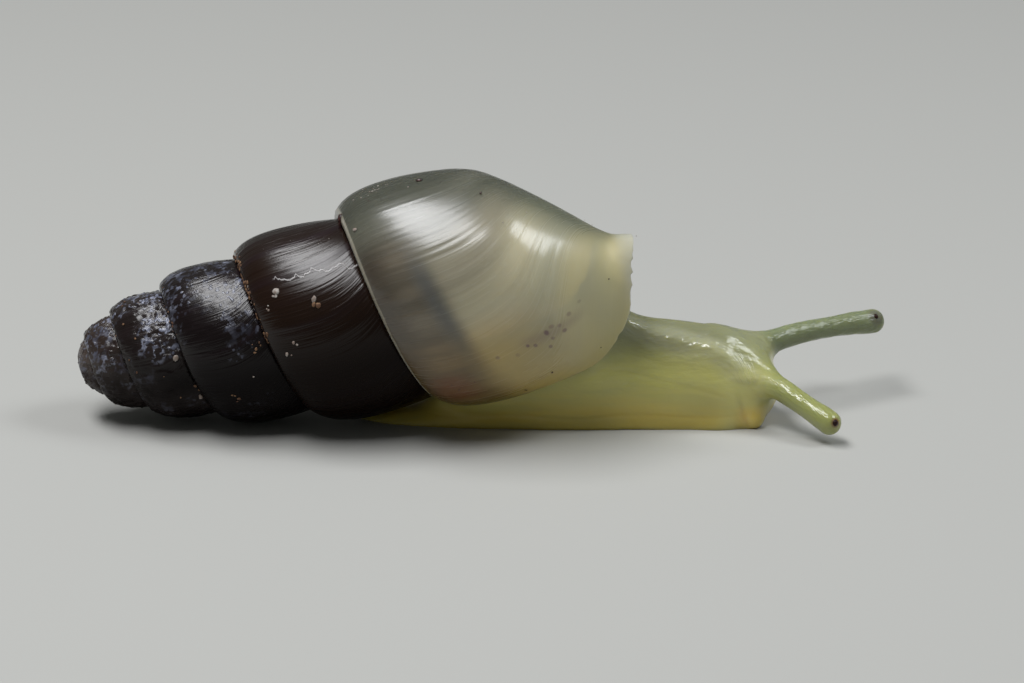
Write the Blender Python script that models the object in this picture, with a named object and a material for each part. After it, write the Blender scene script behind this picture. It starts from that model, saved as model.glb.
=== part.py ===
"""Striped snail: a small land snail with a tall, right-handed, awl-shaped shell, crawling with its
head and feelers stretched out.

The file builds a still, life-size model of the whole animal. Run it with
    blender --background --python part.py
or from Blender's text editor. Lengths below are in millimetres and angles in degrees; the model
itself is in metres. +X points from the tip of the shell to the feelers, +Y to the animal's left,
+Z up, and the floor is Z = 0.

The shell follows one rule. Turns are counted from the apex. The suture (the line where two whorls
meet) lies at radius suture_radius(turn) and distance suture_axial(turn) along the shell's axis, and
each whorl is the strip between the suture at one turn and the suture one turn later.
"""
import math

import bmesh
import bpy
from mathutils import Vector

MM = 0.001
GAP = 0.05
WELD = 0.0005
SHARP_ANGLE = 50.0

# Shell: place of its tip, lie of its axis and growth of its spiral.
APEX = Vector((-12.20, 0.40, 1.63))
SHELL_PITCH = 13.6
SHELL_YAW = -1.85
SHELL_ROLL = 18.5
SHELL_SAG = 0.20
SAG_LENGTH = 12.3
SUTURE_TURNS = 5.75
SUTURE_RADIUS = 3.05
SUTURE_AXIAL = 10.55
RADIUS_POWER = 0.89
AXIAL_POWER = 2.28
WHORL_BULGE = 0.165
BULGE_GAIN = 0.001
BULGE_SKEW = 0.6
COLUMELLA_END = 16.75
COLUMELLA_DRIFT = 1.4
BASE_POWER = 1.36
BASE_FULLNESS = 1.14
BASE_FULLNESS_DRIFT = -1.3
BASE_TURN = 5.25
BASE_REACH = 0.93
SHOULDER_EASE = 2.2
LIP_TURN = 5.75
LIP_SWEEP = 0.40
LIP_SWEEP_POWER = 5.0
LIP_FLARE = 0.5
FLARE_TURNS = 0.12
FLARE_FROM = 0.35
LIP_DEPTH = 0.5
LIP_WALL = 0.16
COLLAR_DEPTH = 0.4
COLLAR_BACK_GAP = 0.11
COLLAR_WALL_GAP = 0.14
COLLAR_MARGIN_ROWS = 2
COLLAR_WIDTH = 0.45
APEX_TURNS = 1.75
UPPER_SPIRE_TURNS = 3.25
SPIRE_TURNS = 4.75
STEPS_PER_TURN = 24
WHORL_ROWS = 6
BASE_ROWS = 12

# Body: half width, height, middle line and lean of its cross-sections, from tail to front of foot.
BODY_STATIONS = (
    # x, half width, height, middle y, lean towards the right per unit height
    (-3.71, 0.26, 0.10, 0.41, 0.00),
    (-2.91, 0.72, 0.30, 0.41, 0.00),
    (-1.71, 1.02, 0.60, 0.43, 0.00),
    (-0.61, 1.20, 1.70, 0.45, 0.05),
    (0.69, 1.28, 3.80, 0.46, 0.12),
    (1.89, 1.34, 4.60, 0.46, 0.14),
    (3.09, 1.36, 4.50, 0.46, 0.12),
    (4.59, 1.32, 3.30, 0.46, 0.02),
    (6.49, 1.26, 3.00, 0.44, 0.06),
    (7.49, 1.20, 2.45, 0.41, 0.10),
    (7.99, 1.02, 1.15, 0.38, 0.10),
    (8.25, 0.66, 0.30, 0.38, 0.00),
)
BODY_STEPS = 34
BODY_ARCH_STEPS = 20
BODY_SOLE_STEPS = 4
SIDE_POWER = 2.0
TOP_POWER = 1.7

# Head: two rounded masses, the crown that carries the upper feelers and the snout below it.
CROWN_AT = Vector((7.44, 0.38, 1.55))
CROWN_RADII = Vector((1.15, 1.05, 1.12))
SNOUT_AT = Vector((7.85, 0.35, 0.82))
SNOUT_RADII = Vector((1.00, 0.94, 0.79))
BALL_SIDES = 20
BALL_RINGS = 12

# Feelers: root, bend and tip centre, then the radius at root, middle, narrowest place and tip.
UPPER_RIGHT = ((8.14, -0.09, 1.62), (9.19, -1.04, 1.24), (10.39, -2.10, 0.66), (0.46, 0.35, 0.33, 0.37))
UPPER_LEFT = ((8.04, 0.81, 1.95), (9.49, 1.71, 2.40), (11.94, 3.24, 2.13), (0.46, 0.34, 0.31, 0.36))
LOWER_RIGHT = ((7.99, -0.18, 0.82), (8.13, -0.41, 0.50), (8.19, -0.58, 0.27), (0.36, 0.31, 0.28, 0.26))
LOWER_LEFT = ((8.09, 0.88, 0.80), (8.31, 1.18, 0.58), (8.44, 1.40, 0.44), (0.34, 0.30, 0.27, 0.26))
FEELER_SIDES = 12
FEELER_STEPS = 10
TIP_STEPS = 4
EYE_RADIUS = 0.11
EYE_SIDES = 10
EYE_RINGS = 6
EYE_RIGHT_OFFSET = Vector((0.15, -0.26, 0.08))
EYE_LEFT_OFFSET = Vector((0.06, -0.22, 0.20))

# Cuts that part the body into its named pieces.
TAIL_CUT_X = -1.01
NECK_CUT_X = 4.49
HEAD_CUT_X = 6.94
FOOT_CUT_Z = 0.40
REACH = 30.0
BELOW_FLOOR = -1.0
PIECE_ANCHORS = {
    "tail": (-2.2, 0.5, 0.4),
    "foot": (4.0, 0.5, 0.2),
    "trunk": (1.9, 0.5, 2.3),
    "neck": (5.8, 0.5, 1.9),
    "head": (8.0, 0.5, 1.6),
}


def clear_scene():
    """Remove every object of the open scene."""
    for old in list(bpy.data.objects):
        bpy.data.objects.remove(old, do_unlink=True)


def material(name, colour, roughness):
    """Principled BSDF material of one sub-part."""
    made = bpy.data.materials.new(name)
    made.use_nodes = True
    shader = made.node_tree.nodes["Principled BSDF"]
    shader.inputs["Base Color"].default_value = (*colour, 1.0)
    shader.inputs["Roughness"].default_value = roughness
    made.diffuse_color = (*colour, 1.0)
    return made


def finish_mesh(name, bm, paint):
    """Turn a bmesh in millimetres into a linked, smooth-shaded object in metres."""
    bmesh.ops.remove_doubles(bm, verts=bm.verts, dist=WELD)
    bmesh.ops.triangulate(bm, faces=bm.faces)
    bmesh.ops.recalc_face_normals(bm, faces=bm.faces)
    if bm.calc_volume(signed=True) < 0.0:
        bmesh.ops.reverse_faces(bm, faces=bm.faces)
    bmesh.ops.scale(bm, vec=(MM, MM, MM), verts=bm.verts)
    mesh = bpy.data.meshes.new(name)
    bm.to_mesh(mesh)
    bm.free()
    mesh.materials.append(paint)
    mesh.shade_smooth()
    mesh.set_sharp_from_angle(angle=math.radians(SHARP_ANGLE))
    made = bpy.data.objects.new(name, mesh)
    bpy.context.collection.objects.link(made)
    return made


def make_guide(guide):
    """Mark an object as a cutter or a guide that is no piece of the model."""
    guide.hide_render = True
    guide.display_type = "WIRE"
    return guide


def add_boolean(target, other, operation):
    """Cut or join the target with another closed object.

    EXACT loses whole pieces on shapes a few millimetres long, so the other solver for closed
    shapes is used, and each result is cut into triangles so that its faces are flat.
    """
    step = target.modifiers.new(operation.lower(), "BOOLEAN")
    step.operation = operation
    step.solver = "MANIFOLD"
    step.object = other
    target.modifiers.new("flat_faces", "TRIANGULATE")


def zip_chains(bm, left, right):
    """Fill the strip between two chains of vertices that run the same way, triangle by triangle."""
    i = j = 0
    while i < len(left) - 1 or j < len(right) - 1:
        left_share = (i + 1) / max(len(left) - 1, 1)
        right_share = (j + 1) / max(len(right) - 1, 1)
        if j == len(right) - 1 or i < len(left) - 1 and left_share < right_share:
            corners = (left[i], left[i + 1], right[j])
            i += 1
        else:
            corners = (left[i], right[j + 1], right[j])
            j += 1
        if len(set(corners)) == 3:
            bm.faces.new(corners)


# ---------------------------------------------------------------- shell


def shell_axes():
    """Axis of the shell, the direction square to it that points up, and the one that points left."""
    pitch = math.radians(SHELL_PITCH)
    yaw = math.radians(SHELL_YAW)
    roll = math.radians(SHELL_ROLL)
    axis = Vector((math.cos(pitch) * math.cos(yaw), math.cos(pitch) * math.sin(yaw), math.sin(pitch)))
    upright = Vector((0.0, 0.0, 1.0))
    upright = (upright - axis * upright.dot(axis)).normalized()
    sideways = upright.cross(axis)
    above = upright * math.cos(roll) + sideways * math.sin(roll)
    return axis, above, above.cross(axis)


SHELL_AXIS, SHELL_UP, SHELL_LEFT = shell_axes()


def suture_radius(turn):
    return SUTURE_RADIUS * (max(turn, 0.0) / SUTURE_TURNS) ** RADIUS_POWER


def suture_axial(turn):
    return SUTURE_AXIAL * (max(turn, 0.0) / SUTURE_TURNS) ** AXIAL_POWER


def swelling(turn):
    """How far a whorl bulges beyond the cone through its two sutures."""
    return (WHORL_BULGE + BULGE_GAIN * turn) * suture_radius(turn + 0.5)


def whorl_profile(turn, across):
    """Radius and axial place on a whorl; across runs from 0 at its upper suture to 1 at its lower."""
    near, far = suture_radius(turn), suture_radius(turn + 1)
    bulge = swelling(turn) * math.sin(math.pi * across ** BULGE_SKEW)
    start, end = suture_axial(turn), suture_axial(turn + 1)
    return near + (far - near) * across + bulge, start + (end - start) * across


def base_profile(turn, down):
    """Radius and axial place on the base of the last whorl, 0 at its shoulder, 1 at the columella."""
    radius, start = suture_radius(turn + 1), suture_axial(turn + 1)
    end = COLUMELLA_END + COLUMELLA_DRIFT * (turn - BASE_TURN)
    fullness = BASE_FULLNESS + BASE_FULLNESS_DRIFT * (turn - BASE_TURN)
    rise = radius - suture_radius(turn) - SHOULDER_EASE * swelling(turn)
    slope = rise / (start - suture_axial(turn))
    axial = start + (end - start) * down
    radius = radius * (1 - down ** BASE_POWER) ** fullness + slope * (axial - start) * (1 - down) ** 2
    to_lip = max(1 - (growth_line(down) - turn) / FLARE_TURNS, 0.0)
    lowness = max((down - FLARE_FROM) / (BASE_REACH - FLARE_FROM), 0.0)
    return radius, axial + LIP_FLARE * to_lip ** 2 * math.sin(math.pi / 2 * lowness) ** 2


def shell_point(turn, radius, axial):
    """Place in the model of a point given by its turn, radius and distance along the axis."""
    angle = 2 * math.pi * turn
    sag = SHELL_SAG * math.sin(math.pi * axial / SAG_LENGTH)
    return (APEX + SHELL_AXIS * axial + SHELL_LEFT * (radius * math.cos(angle))
            + SHELL_UP * (radius * math.sin(angle) - sag))


def growth_line(down):
    """Turn at which the lip crosses the base at a given way down it."""
    return LIP_TURN - LIP_SWEEP * down ** LIP_SWEEP_POWER


def lip_turn(row):
    """Turn at which the lip crosses a row of the last whorl."""
    return growth_line(max(row - WHORL_ROWS, 0) / BASE_ROWS * BASE_REACH)


def last_whorl_point(turn, row, grow=0.0):
    """Point on the last whorl: rows run over its side, then over its base."""
    if row <= WHORL_ROWS:
        radius, axial = whorl_profile(turn, row / WHORL_ROWS)
    else:
        radius, axial = base_profile(turn, (row - WHORL_ROWS) / BASE_ROWS * BASE_REACH)
    return shell_point(turn, radius + grow, axial)


def lip_step(row, depth):
    """Part of a turn that spans the given depth behind the lip."""
    reference = last_whorl_point(lip_turn(row), row)
    axial = (reference - APEX).dot(SHELL_AXIS)
    radius = (reference - APEX - SHELL_AXIS * axial).length
    return depth / (2 * math.pi * max(radius, 1.0))


def spire_solid(name, first, last, paint):
    """Closed solid of the whorls between two turns, shut by the helical floors of those turns."""
    steps = round((last - first) * STEPS_PER_TURN)
    begins_at_apex = first < 0
    bm = bmesh.new()
    cells = {}

    def turn_of(step):
        extra = 0.0 if begins_at_apex or step > 0 else GAP / (2 * math.pi * suture_radius(first))
        return first + step / STEPS_PER_TURN + extra

    def vertex(step, row):
        if row == WHORL_ROWS and step + STEPS_PER_TURN <= steps:
            step, row = step + STEPS_PER_TURN, 0
        turn = turn_of(step)
        at_pole = turn <= 0 and row == 0 or turn <= -1
        key = "pole" if at_pole else (step, row)
        if key not in cells:
            radius, axial = whorl_profile(turn, row / WHORL_ROWS)
            on_floor = row == 0 and step < STEPS_PER_TURN and not begins_at_apex
            radius = 0.0 if at_pole else radius
            cells[key] = bm.verts.new(shell_point(turn, radius, axial + (GAP if on_floor else 0.0)))
        return cells[key]

    def face(corners):
        unique = list(dict.fromkeys(corners))
        if len(unique) > 2:
            bm.faces.new(unique)

    for step in range(steps):
        for row in range(WHORL_ROWS):
            face([vertex(step, row), vertex(step + 1, row), vertex(step + 1, row + 1), vertex(step, row + 1)])
    top_axis = []
    for step in range(steps - STEPS_PER_TURN, steps + 1):
        top_axis.append(bm.verts.new(shell_point(0.0, 0.0, suture_axial(turn_of(step) + 1))))
    zip_chains(bm, top_axis, [vertex(step, WHORL_ROWS) for step in range(steps - STEPS_PER_TURN, steps + 1)])
    zip_chains(bm, [vertex(steps, row) for row in range(WHORL_ROWS + 1)], top_axis)
    if not begins_at_apex:
        low_axis = []
        for step in range(STEPS_PER_TURN + 1):
            low_axis.append(bm.verts.new(shell_point(0.0, 0.0, suture_axial(turn_of(step)) + GAP)))
        zip_chains(bm, low_axis, [vertex(step, 0) for step in range(STEPS_PER_TURN + 1)])
        zip_chains(bm, [vertex(0, row) for row in range(WHORL_ROWS + 1)], low_axis)
    return finish_mesh(name, bm, paint)


def last_whorl_solid(name, paint, lip_depth, grow=0.0, clear=GAP):
    """Closed solid of the last whorl; a ruled face between lip and inner wall shuts its mouth."""
    rows = WHORL_ROWS + BASE_ROWS
    first = SPIRE_TURNS
    start = first + clear / (2 * math.pi * suture_radius(first))
    bm = bmesh.new()
    grid = []
    for step in range(STEPS_PER_TURN + 1):
        part = step / STEPS_PER_TURN
        line = []
        for row in range(rows + 1):
            end = lip_turn(row) - lip_step(row, lip_depth)
            turn = start + (end - start) * part
            place = last_whorl_point(turn, row, grow)
            if row == 0:
                place = place + SHELL_AXIS * clear
            line.append(bm.verts.new(place))
        grid.append(line)
    for step in range(STEPS_PER_TURN):
        for row in range(rows):
            bm.faces.new([grid[step][row], grid[step + 1][row], grid[step + 1][row + 1], grid[step][row + 1]])
    floor = []
    for step in range(STEPS_PER_TURN + 1):
        axial = suture_axial(first + step / STEPS_PER_TURN) + clear
        floor.append(bm.verts.new(shell_point(0.0, 0.0, axial)))
    zip_chains(bm, floor, [line[0] for line in grid])
    lip = grid[-1]
    wall = grid[0][WHORL_ROWS:]
    step_edge = grid[0][:WHORL_ROWS + 1] + ([lip[0]] if clear else [])
    zip_chains(bm, step_edge, floor)
    zip_chains(bm, wall, lip)
    bm.faces.new([grid[step][rows] for step in range(STEPS_PER_TURN + 1)])
    return finish_mesh(name, bm, paint)


def lip_solid(name, paint):
    """Thin rim of new shell along the mouth."""
    rows = range(1, WHORL_ROWS + BASE_ROWS)
    bm = bmesh.new()
    rings = []
    for row in rows:
        outer = lip_turn(row)
        inner = outer - lip_step(row, LIP_DEPTH - GAP)
        corners = ((inner, 0.0), (outer, 0.0), (outer, -LIP_WALL), (inner, -LIP_WALL))
        rings.append([bm.verts.new(last_whorl_point(turn, row, grow)) for turn, grow in corners])
    for near, far in zip(rings, rings[1:]):
        for side in range(4):
            turned = (side + 1) % 4
            bm.faces.new([near[side], near[turned], far[turned], far[side]])
    bm.faces.new(rings[0])
    bm.faces.new(rings[-1])
    return finish_mesh(name, bm, paint)


def collar_solid(name, paint):
    """Mantle collar: the fold of flesh that lines the mouth of the shell inside the lip."""
    rows = range(COLLAR_MARGIN_ROWS, WHORL_ROWS + BASE_ROWS - COLLAR_MARGIN_ROWS)
    bm = bmesh.new()
    rings = []
    for index, row in enumerate(rows):
        share = index / (len(rows) - 1)
        deep = lip_turn(row) - lip_step(row, LIP_DEPTH - COLLAR_BACK_GAP)
        shallow = lip_turn(row) - lip_step(row, LIP_DEPTH - COLLAR_DEPTH)
        wall_row = WHORL_ROWS + 1 + share * (BASE_ROWS - 2 * COLLAR_MARGIN_ROWS)
        ring = []
        for turn, sink in ((deep, 0.0), (shallow, 1.0)):
            outside = last_whorl_point(turn, row, -LIP_WALL - GAP)
            wall = last_whorl_point(SPIRE_TURNS, wall_row, GAP)
            wall = wall + SHELL_LEFT * (COLLAR_WALL_GAP + sink * (COLLAR_DEPTH - GAP))
            across = wall - outside
            inside = outside + across.normalized() * min(across.length, COLLAR_WIDTH)
            ring.append((bm.verts.new(outside), bm.verts.new(inside)))
        rings.append([ring[0][0], ring[1][0], ring[1][1], ring[0][1]])
    for near, far in zip(rings, rings[1:]):
        for side in range(4):
            turned = (side + 1) % 4
            bm.faces.new([near[side], near[turned], far[turned], far[side]])
    bm.faces.new(rings[0])
    bm.faces.new(rings[-1])
    return finish_mesh(name, bm, paint)


# ---------------------------------------------------------------- body


def smooth_station(x):
    """Cubic reading of BODY_STATIONS at x: half width, height, middle and lean."""
    last = len(BODY_STATIONS) - 1
    index = 0
    while index < last - 1 and x > BODY_STATIONS[index + 1][0]:
        index += 1
    before = BODY_STATIONS[max(index - 1, 0)]
    low = BODY_STATIONS[index]
    high = BODY_STATIONS[index + 1]
    after = BODY_STATIONS[min(index + 2, last)]
    span = high[0] - low[0]
    part = (x - low[0]) / span
    values = []
    for field in range(1, 5):
        slope_low = (high[field] - before[field]) / max(high[0] - before[0], span) * span
        slope_high = (after[field] - low[field]) / max(after[0] - low[0], span) * span
        value = (low[field] * (2 * part ** 3 - 3 * part ** 2 + 1)
                 + slope_low * (part ** 3 - 2 * part ** 2 + part)
                 + high[field] * (3 * part ** 2 - 2 * part ** 3)
                 + slope_high * (part ** 3 - part ** 2))
        values.append(value)
    return values


def body_ring(x, grow):
    """Closed cross-section of the body: an arch over a flat sole."""
    half, height, middle, lean = smooth_station(x)
    half += grow
    height += grow
    ring = []
    for step in range(BODY_ARCH_STEPS + 1):
        angle = math.pi * step / BODY_ARCH_STEPS
        aside = -math.copysign(abs(math.cos(angle)) ** (2 / SIDE_POWER), math.cos(angle)) * half
        up = height * abs(math.sin(angle)) ** (2 / TOP_POWER) if 0 < step < BODY_ARCH_STEPS else 0.0
        ring.append(Vector((x, middle + aside - lean * up, up)))
    for step in range(1, BODY_SOLE_STEPS):
        ring.append(Vector((x, middle + half * (1 - 2 * step / BODY_SOLE_STEPS), 0.0)))
    return ring


def loft(bm, rings):
    """Skin closed rings of equal count and shut both ends."""
    lines = [[bm.verts.new(point) for point in ring] for ring in rings]
    count = len(lines[0])
    for near, far in zip(lines, lines[1:]):
        for index in range(count):
            turned = (index + 1) % count
            bm.faces.new([near[index], near[turned], far[turned], far[index]])
    bm.faces.new(lines[0])
    bm.faces.new(lines[-1])


def body_solid(name, paint, grow=0.0):
    """Tail, foot, trunk and neck as one arch along the sole."""
    first, last = BODY_STATIONS[0][0], BODY_STATIONS[-1][0]
    places = [first + (last - first) * step / BODY_STEPS for step in range(BODY_STEPS + 1)]
    bm = bmesh.new()
    loft(bm, [body_ring(x, grow) for x in places])
    return finish_mesh(name, bm, paint)


def ball(name, centre, radii, paint, around=BALL_SIDES, rings=BALL_RINGS):
    """Ellipsoid with its middle and its three radii."""
    bm = bmesh.new()
    bmesh.ops.create_uvsphere(bm, u_segments=around, v_segments=rings, radius=1.0)
    bmesh.ops.scale(bm, vec=radii, verts=bm.verts)
    bmesh.ops.translate(bm, vec=centre, verts=bm.verts)
    return finish_mesh(name, bm, paint)


def feeler_solid(name, shape, paint, grow=0.0):
    """Feeler: a bent, tapering stalk with a rounded tip."""
    root, bend, tip, radii = shape
    root, bend, tip = Vector(root), Vector(bend), Vector(tip)
    rings = []

    def ring(centre, along, radius):
        side = along.cross(Vector((0.0, 0.0, 1.0))).normalized()
        over = side.cross(along)
        points = []
        for index in range(FEELER_SIDES):
            angle = 2 * math.pi * index / FEELER_SIDES
            points.append(centre + side * (radius * math.cos(angle)) + over * (radius * math.sin(angle)))
        return points

    def radius_at(part):
        spans = len(radii) - 1
        index = min(int(part * spans), spans - 1)
        blend = part * spans - index
        blend = blend * blend * (3 - 2 * blend)
        return radii[index] + (radii[index + 1] - radii[index]) * blend

    for step in range(FEELER_STEPS + 1):
        part = step / FEELER_STEPS
        centre = root * (1 - part) ** 2 + bend * (2 * part * (1 - part)) + tip * part ** 2
        along = ((bend - root) * (1 - part) + (tip - bend) * part).normalized()
        rings.append(ring(centre, along, radius_at(part) + grow))
    along = (tip - bend).normalized()
    for step in range(1, TIP_STEPS):
        angle = math.pi / 2 * step / TIP_STEPS
        reach = radii[-1] + grow
        rings.append(ring(tip + along * (reach * math.sin(angle)), along, reach * math.cos(angle)))
    bm = bmesh.new()
    loft(bm, rings)
    return finish_mesh(name, bm, paint)


def blade(name, low, high, paint):
    """Thin box between two corners, used to part the body."""
    low, high = Vector(low), Vector(high)
    bm = bmesh.new()
    bmesh.ops.create_cube(bm, size=1.0)
    bmesh.ops.scale(bm, vec=high - low, verts=bm.verts)
    bmesh.ops.translate(bm, vec=(low + high) / 2, verts=bm.verts)
    return make_guide(finish_mesh(name, bm, paint))


def evaluated_copy(source):
    """Mesh of an object with its modifiers carried out."""
    depsgraph = bpy.context.evaluated_depsgraph_get()
    return bpy.data.meshes.new_from_object(source.evaluated_get(depsgraph))


def part_body(whole, paints):
    """Split the cut body into its loose pieces and name each by the anchor nearest its middle."""
    mesh = evaluated_copy(whole)
    bm = bmesh.new()
    bm.from_mesh(mesh)
    bmesh.ops.triangulate(bm, faces=bm.faces)
    pending = set(bm.verts)
    made = []
    while pending:
        group = {pending.pop()}
        front = list(group)
        while front:
            vertex = front.pop()
            for edge in vertex.link_edges:
                other = edge.other_vert(vertex)
                if other in pending:
                    pending.discard(other)
                    group.add(other)
                    front.append(other)
        corners = [(min(v.co[i] for v in group), max(v.co[i] for v in group)) for i in range(3)]
        centre = Vector([(low + high) / 2 / MM for low, high in corners])
        name = min(PIECE_ANCHORS, key=lambda key: (Vector(PIECE_ANCHORS[key]) - centre).length)
        piece = bm.copy()
        keep = {vertex.index for vertex in group}
        piece.verts.ensure_lookup_table()
        bmesh.ops.delete(piece, geom=[v for v in piece.verts if v.index not in keep], context="VERTS")
        bmesh.ops.scale(piece, vec=(1 / MM, 1 / MM, 1 / MM), verts=piece.verts)
        made.append(finish_mesh(name, piece, paints[name]))
    bm.free()
    return made


def main():
    clear_scene()
    spire_brown = material("spire_brown", (0.045, 0.028, 0.024), 0.35)
    apex_brown = material("apex_brown", (0.11, 0.08, 0.075), 0.6)
    pearl = material("pearl_shell", (0.55, 0.52, 0.40), 0.25)
    lip_white = material("lip_white", (0.72, 0.68, 0.52), 0.3)
    collar_cream = material("collar_cream", (0.66, 0.60, 0.34), 0.35)
    skin = material("skin_green", (0.50, 0.50, 0.22), 0.3)
    foot_yellow = material("foot_yellow", (0.62, 0.50, 0.16), 0.3)
    feeler_green = material("feeler_green", (0.46, 0.52, 0.20), 0.3)
    eye_black = material("eye_black", (0.02, 0.01, 0.01), 0.15)
    guide_grey = material("guide", (0.5, 0.5, 0.5), 0.5)

    spire_solid("shell_apex", -1.0, APEX_TURNS, apex_brown)
    spire_solid("shell_spire_upper", APEX_TURNS, UPPER_SPIRE_TURNS, spire_brown)
    spire_solid("shell_spire_lower", UPPER_SPIRE_TURNS, SPIRE_TURNS, spire_brown)
    last_whorl_solid("shell_last_whorl", pearl, LIP_DEPTH)
    lip_solid("shell_lip", lip_white)
    collar = collar_solid("mantle_collar", collar_cream)
    add_boolean(collar, make_guide(body_solid("body_cutter", guide_grey, grow=GAP)), "DIFFERENCE")

    body = make_guide(body_solid("body_whole", skin))
    joined = (ball("crown_guide", CROWN_AT, CROWN_RADII, skin),
              ball("snout_guide", SNOUT_AT, SNOUT_RADII, skin))
    for guide in joined:
        add_boolean(body, make_guide(guide), "UNION")
    feelers = {
        "feeler_upper_right": (UPPER_RIGHT, feeler_green),
        "feeler_upper_left": (UPPER_LEFT, feeler_green),
        "feeler_lower_right": (LOWER_RIGHT, foot_yellow),
        "feeler_lower_left": (LOWER_LEFT, foot_yellow),
    }
    cutters = [
        last_whorl_solid("last_whorl_cutter", guide_grey, 0.0, grow=GAP, clear=0.0),
        blade("tail_cut", (TAIL_CUT_X, -REACH, BELOW_FLOOR), (TAIL_CUT_X + GAP, REACH, REACH), guide_grey),
        blade("neck_cut", (NECK_CUT_X, -REACH, FOOT_CUT_Z), (NECK_CUT_X + GAP, REACH, REACH), guide_grey),
        blade("head_cut", (HEAD_CUT_X, -REACH, FOOT_CUT_Z), (HEAD_CUT_X + GAP, REACH, REACH), guide_grey),
        blade("foot_cut", (TAIL_CUT_X, -REACH, FOOT_CUT_Z), (REACH, REACH, FOOT_CUT_Z + GAP), guide_grey),
    ]
    for name, (shape, paint) in feelers.items():
        feeler_solid(name, shape, paint)
        cutters.append(feeler_solid(name + "_cutter", shape, guide_grey, grow=GAP))
    for cutter in cutters:
        add_boolean(body, make_guide(cutter), "DIFFERENCE")
    part_body(body, {"tail": skin, "foot": foot_yellow, "trunk": skin, "neck": skin, "head": skin})

    eyes = {
        "right": Vector(UPPER_RIGHT[2]) + EYE_RIGHT_OFFSET,
        "left": Vector(UPPER_LEFT[2]) + EYE_LEFT_OFFSET,
    }
    for side, centre in eyes.items():
        radii = Vector((EYE_RADIUS,) * 3)
        ball("eye_" + side, centre, radii, eye_black, EYE_SIDES, EYE_RINGS)
        hollow = Vector((EYE_RADIUS + GAP / 2,) * 3)
        socket = make_guide(ball("socket_" + side, centre, hollow, guide_grey, EYE_SIDES, EYE_RINGS))
        add_boolean(bpy.data.objects["feeler_upper_" + side], socket, "DIFFERENCE")


main()
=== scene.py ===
"""Looks of the striped snail: shell, skin, eyes, crumbs of soil, floor, lights and camera.

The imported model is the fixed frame. Every new surface is worked out with numpy in millimetres, in
the frame's own axes (+X from the tip of the shell to the feelers, +Y to the animal's left, +Z up),
and is turned into metres when its mesh is made.

The shell follows one rule. Turns are counted from the apex. The suture, the line where two whorls
meet, lies at a radius and a distance along the axis that are powers of the turn. A whorl is the strip
between the suture at one turn and the suture one turn later; the last whorl goes on over the base.
"""
import math

import bpy
import numpy as np
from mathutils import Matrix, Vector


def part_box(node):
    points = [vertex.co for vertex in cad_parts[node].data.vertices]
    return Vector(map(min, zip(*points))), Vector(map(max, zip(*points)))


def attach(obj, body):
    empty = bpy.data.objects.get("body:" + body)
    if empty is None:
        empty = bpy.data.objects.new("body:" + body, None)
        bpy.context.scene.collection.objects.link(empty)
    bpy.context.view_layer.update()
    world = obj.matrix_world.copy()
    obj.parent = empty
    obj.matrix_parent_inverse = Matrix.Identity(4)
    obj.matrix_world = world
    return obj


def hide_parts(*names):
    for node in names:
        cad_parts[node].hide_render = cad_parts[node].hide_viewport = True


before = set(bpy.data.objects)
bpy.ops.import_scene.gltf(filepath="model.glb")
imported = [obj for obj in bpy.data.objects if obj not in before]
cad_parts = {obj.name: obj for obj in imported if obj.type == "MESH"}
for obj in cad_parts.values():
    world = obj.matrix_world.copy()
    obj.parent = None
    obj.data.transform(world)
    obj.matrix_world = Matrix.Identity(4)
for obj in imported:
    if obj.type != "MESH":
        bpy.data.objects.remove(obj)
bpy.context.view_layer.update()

bl_info = {
    "name": "Striped snail looks",
    "version": (1, 0, 0),
    "blender": (4, 5, 0),
    "location": "View3D > Sidebar > Snail",
    "description": "Builds the shell, skin, eyes and stage of a life-size striped snail",
    "category": "Object",
}

MM = 0.001

# ------------------------------------------------------------------ driving sizes
# Lengths are in millimetres, angles in degrees and places round the shell in turns from the apex.

# Shell: its apex, how its axis tilts, turns aside and rolls, and how far the axis sags over a length.
APEX = np.array((-12.20, 0.40, 1.63))
SHELL_PITCH = 13.6
SHELL_YAW = -1.85
SHELL_ROLL = 18.5
SHELL_SAG = 0.20
SAG_LENGTH = 12.3

# Suture: its turns, its radius and axial distance at the last of them, and the powers they grow by.
SUTURE_TURNS = 5.75
SUTURE_RADIUS = 3.05
SUTURE_AXIAL = 10.55
RADIUS_POWER = 0.89
AXIAL_POWER = 2.28

# Whorls: bulge as a share of the radius, its gain each turn, the extra on top, and its skew.
WHORL_BULGE = 0.165
BULGE_GAIN = 0.001
TOP_BULGE = 0.12
BULGE_SKEW = 0.55

# Base: axial end of the columella, the powers of the curve that leads to it, and how both change with
# the turn, counted from BASE_TURN.
COLUMELLA_END = 16.75
COLUMELLA_DRIFT = 1.4
BASE_POWER = 1.36
BASE_FULLNESS = 1.17
BASE_FULLNESS_DRIFT = -1.40
BASE_TURN = 5.25
SHOULDER_EASE = 2.2

# Lip: its turn, how it sweeps back over the base, and its flare with the turns and places it covers.
LIP_TURN = 5.75
LIP_SWEEP = 0.40
LIP_SWEEP_POWER = 5.0
LIP_FLARE = 0.5
FLARE_TURNS = 0.12
FLARE_FROM = 0.35
FLARE_FULL = 0.93

# Turns at which the last whorl takes over from the spire, and the wall across the mouth begins.
SPLIT_TURN = 4.75
WALL_TURNS = 4.30

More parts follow.
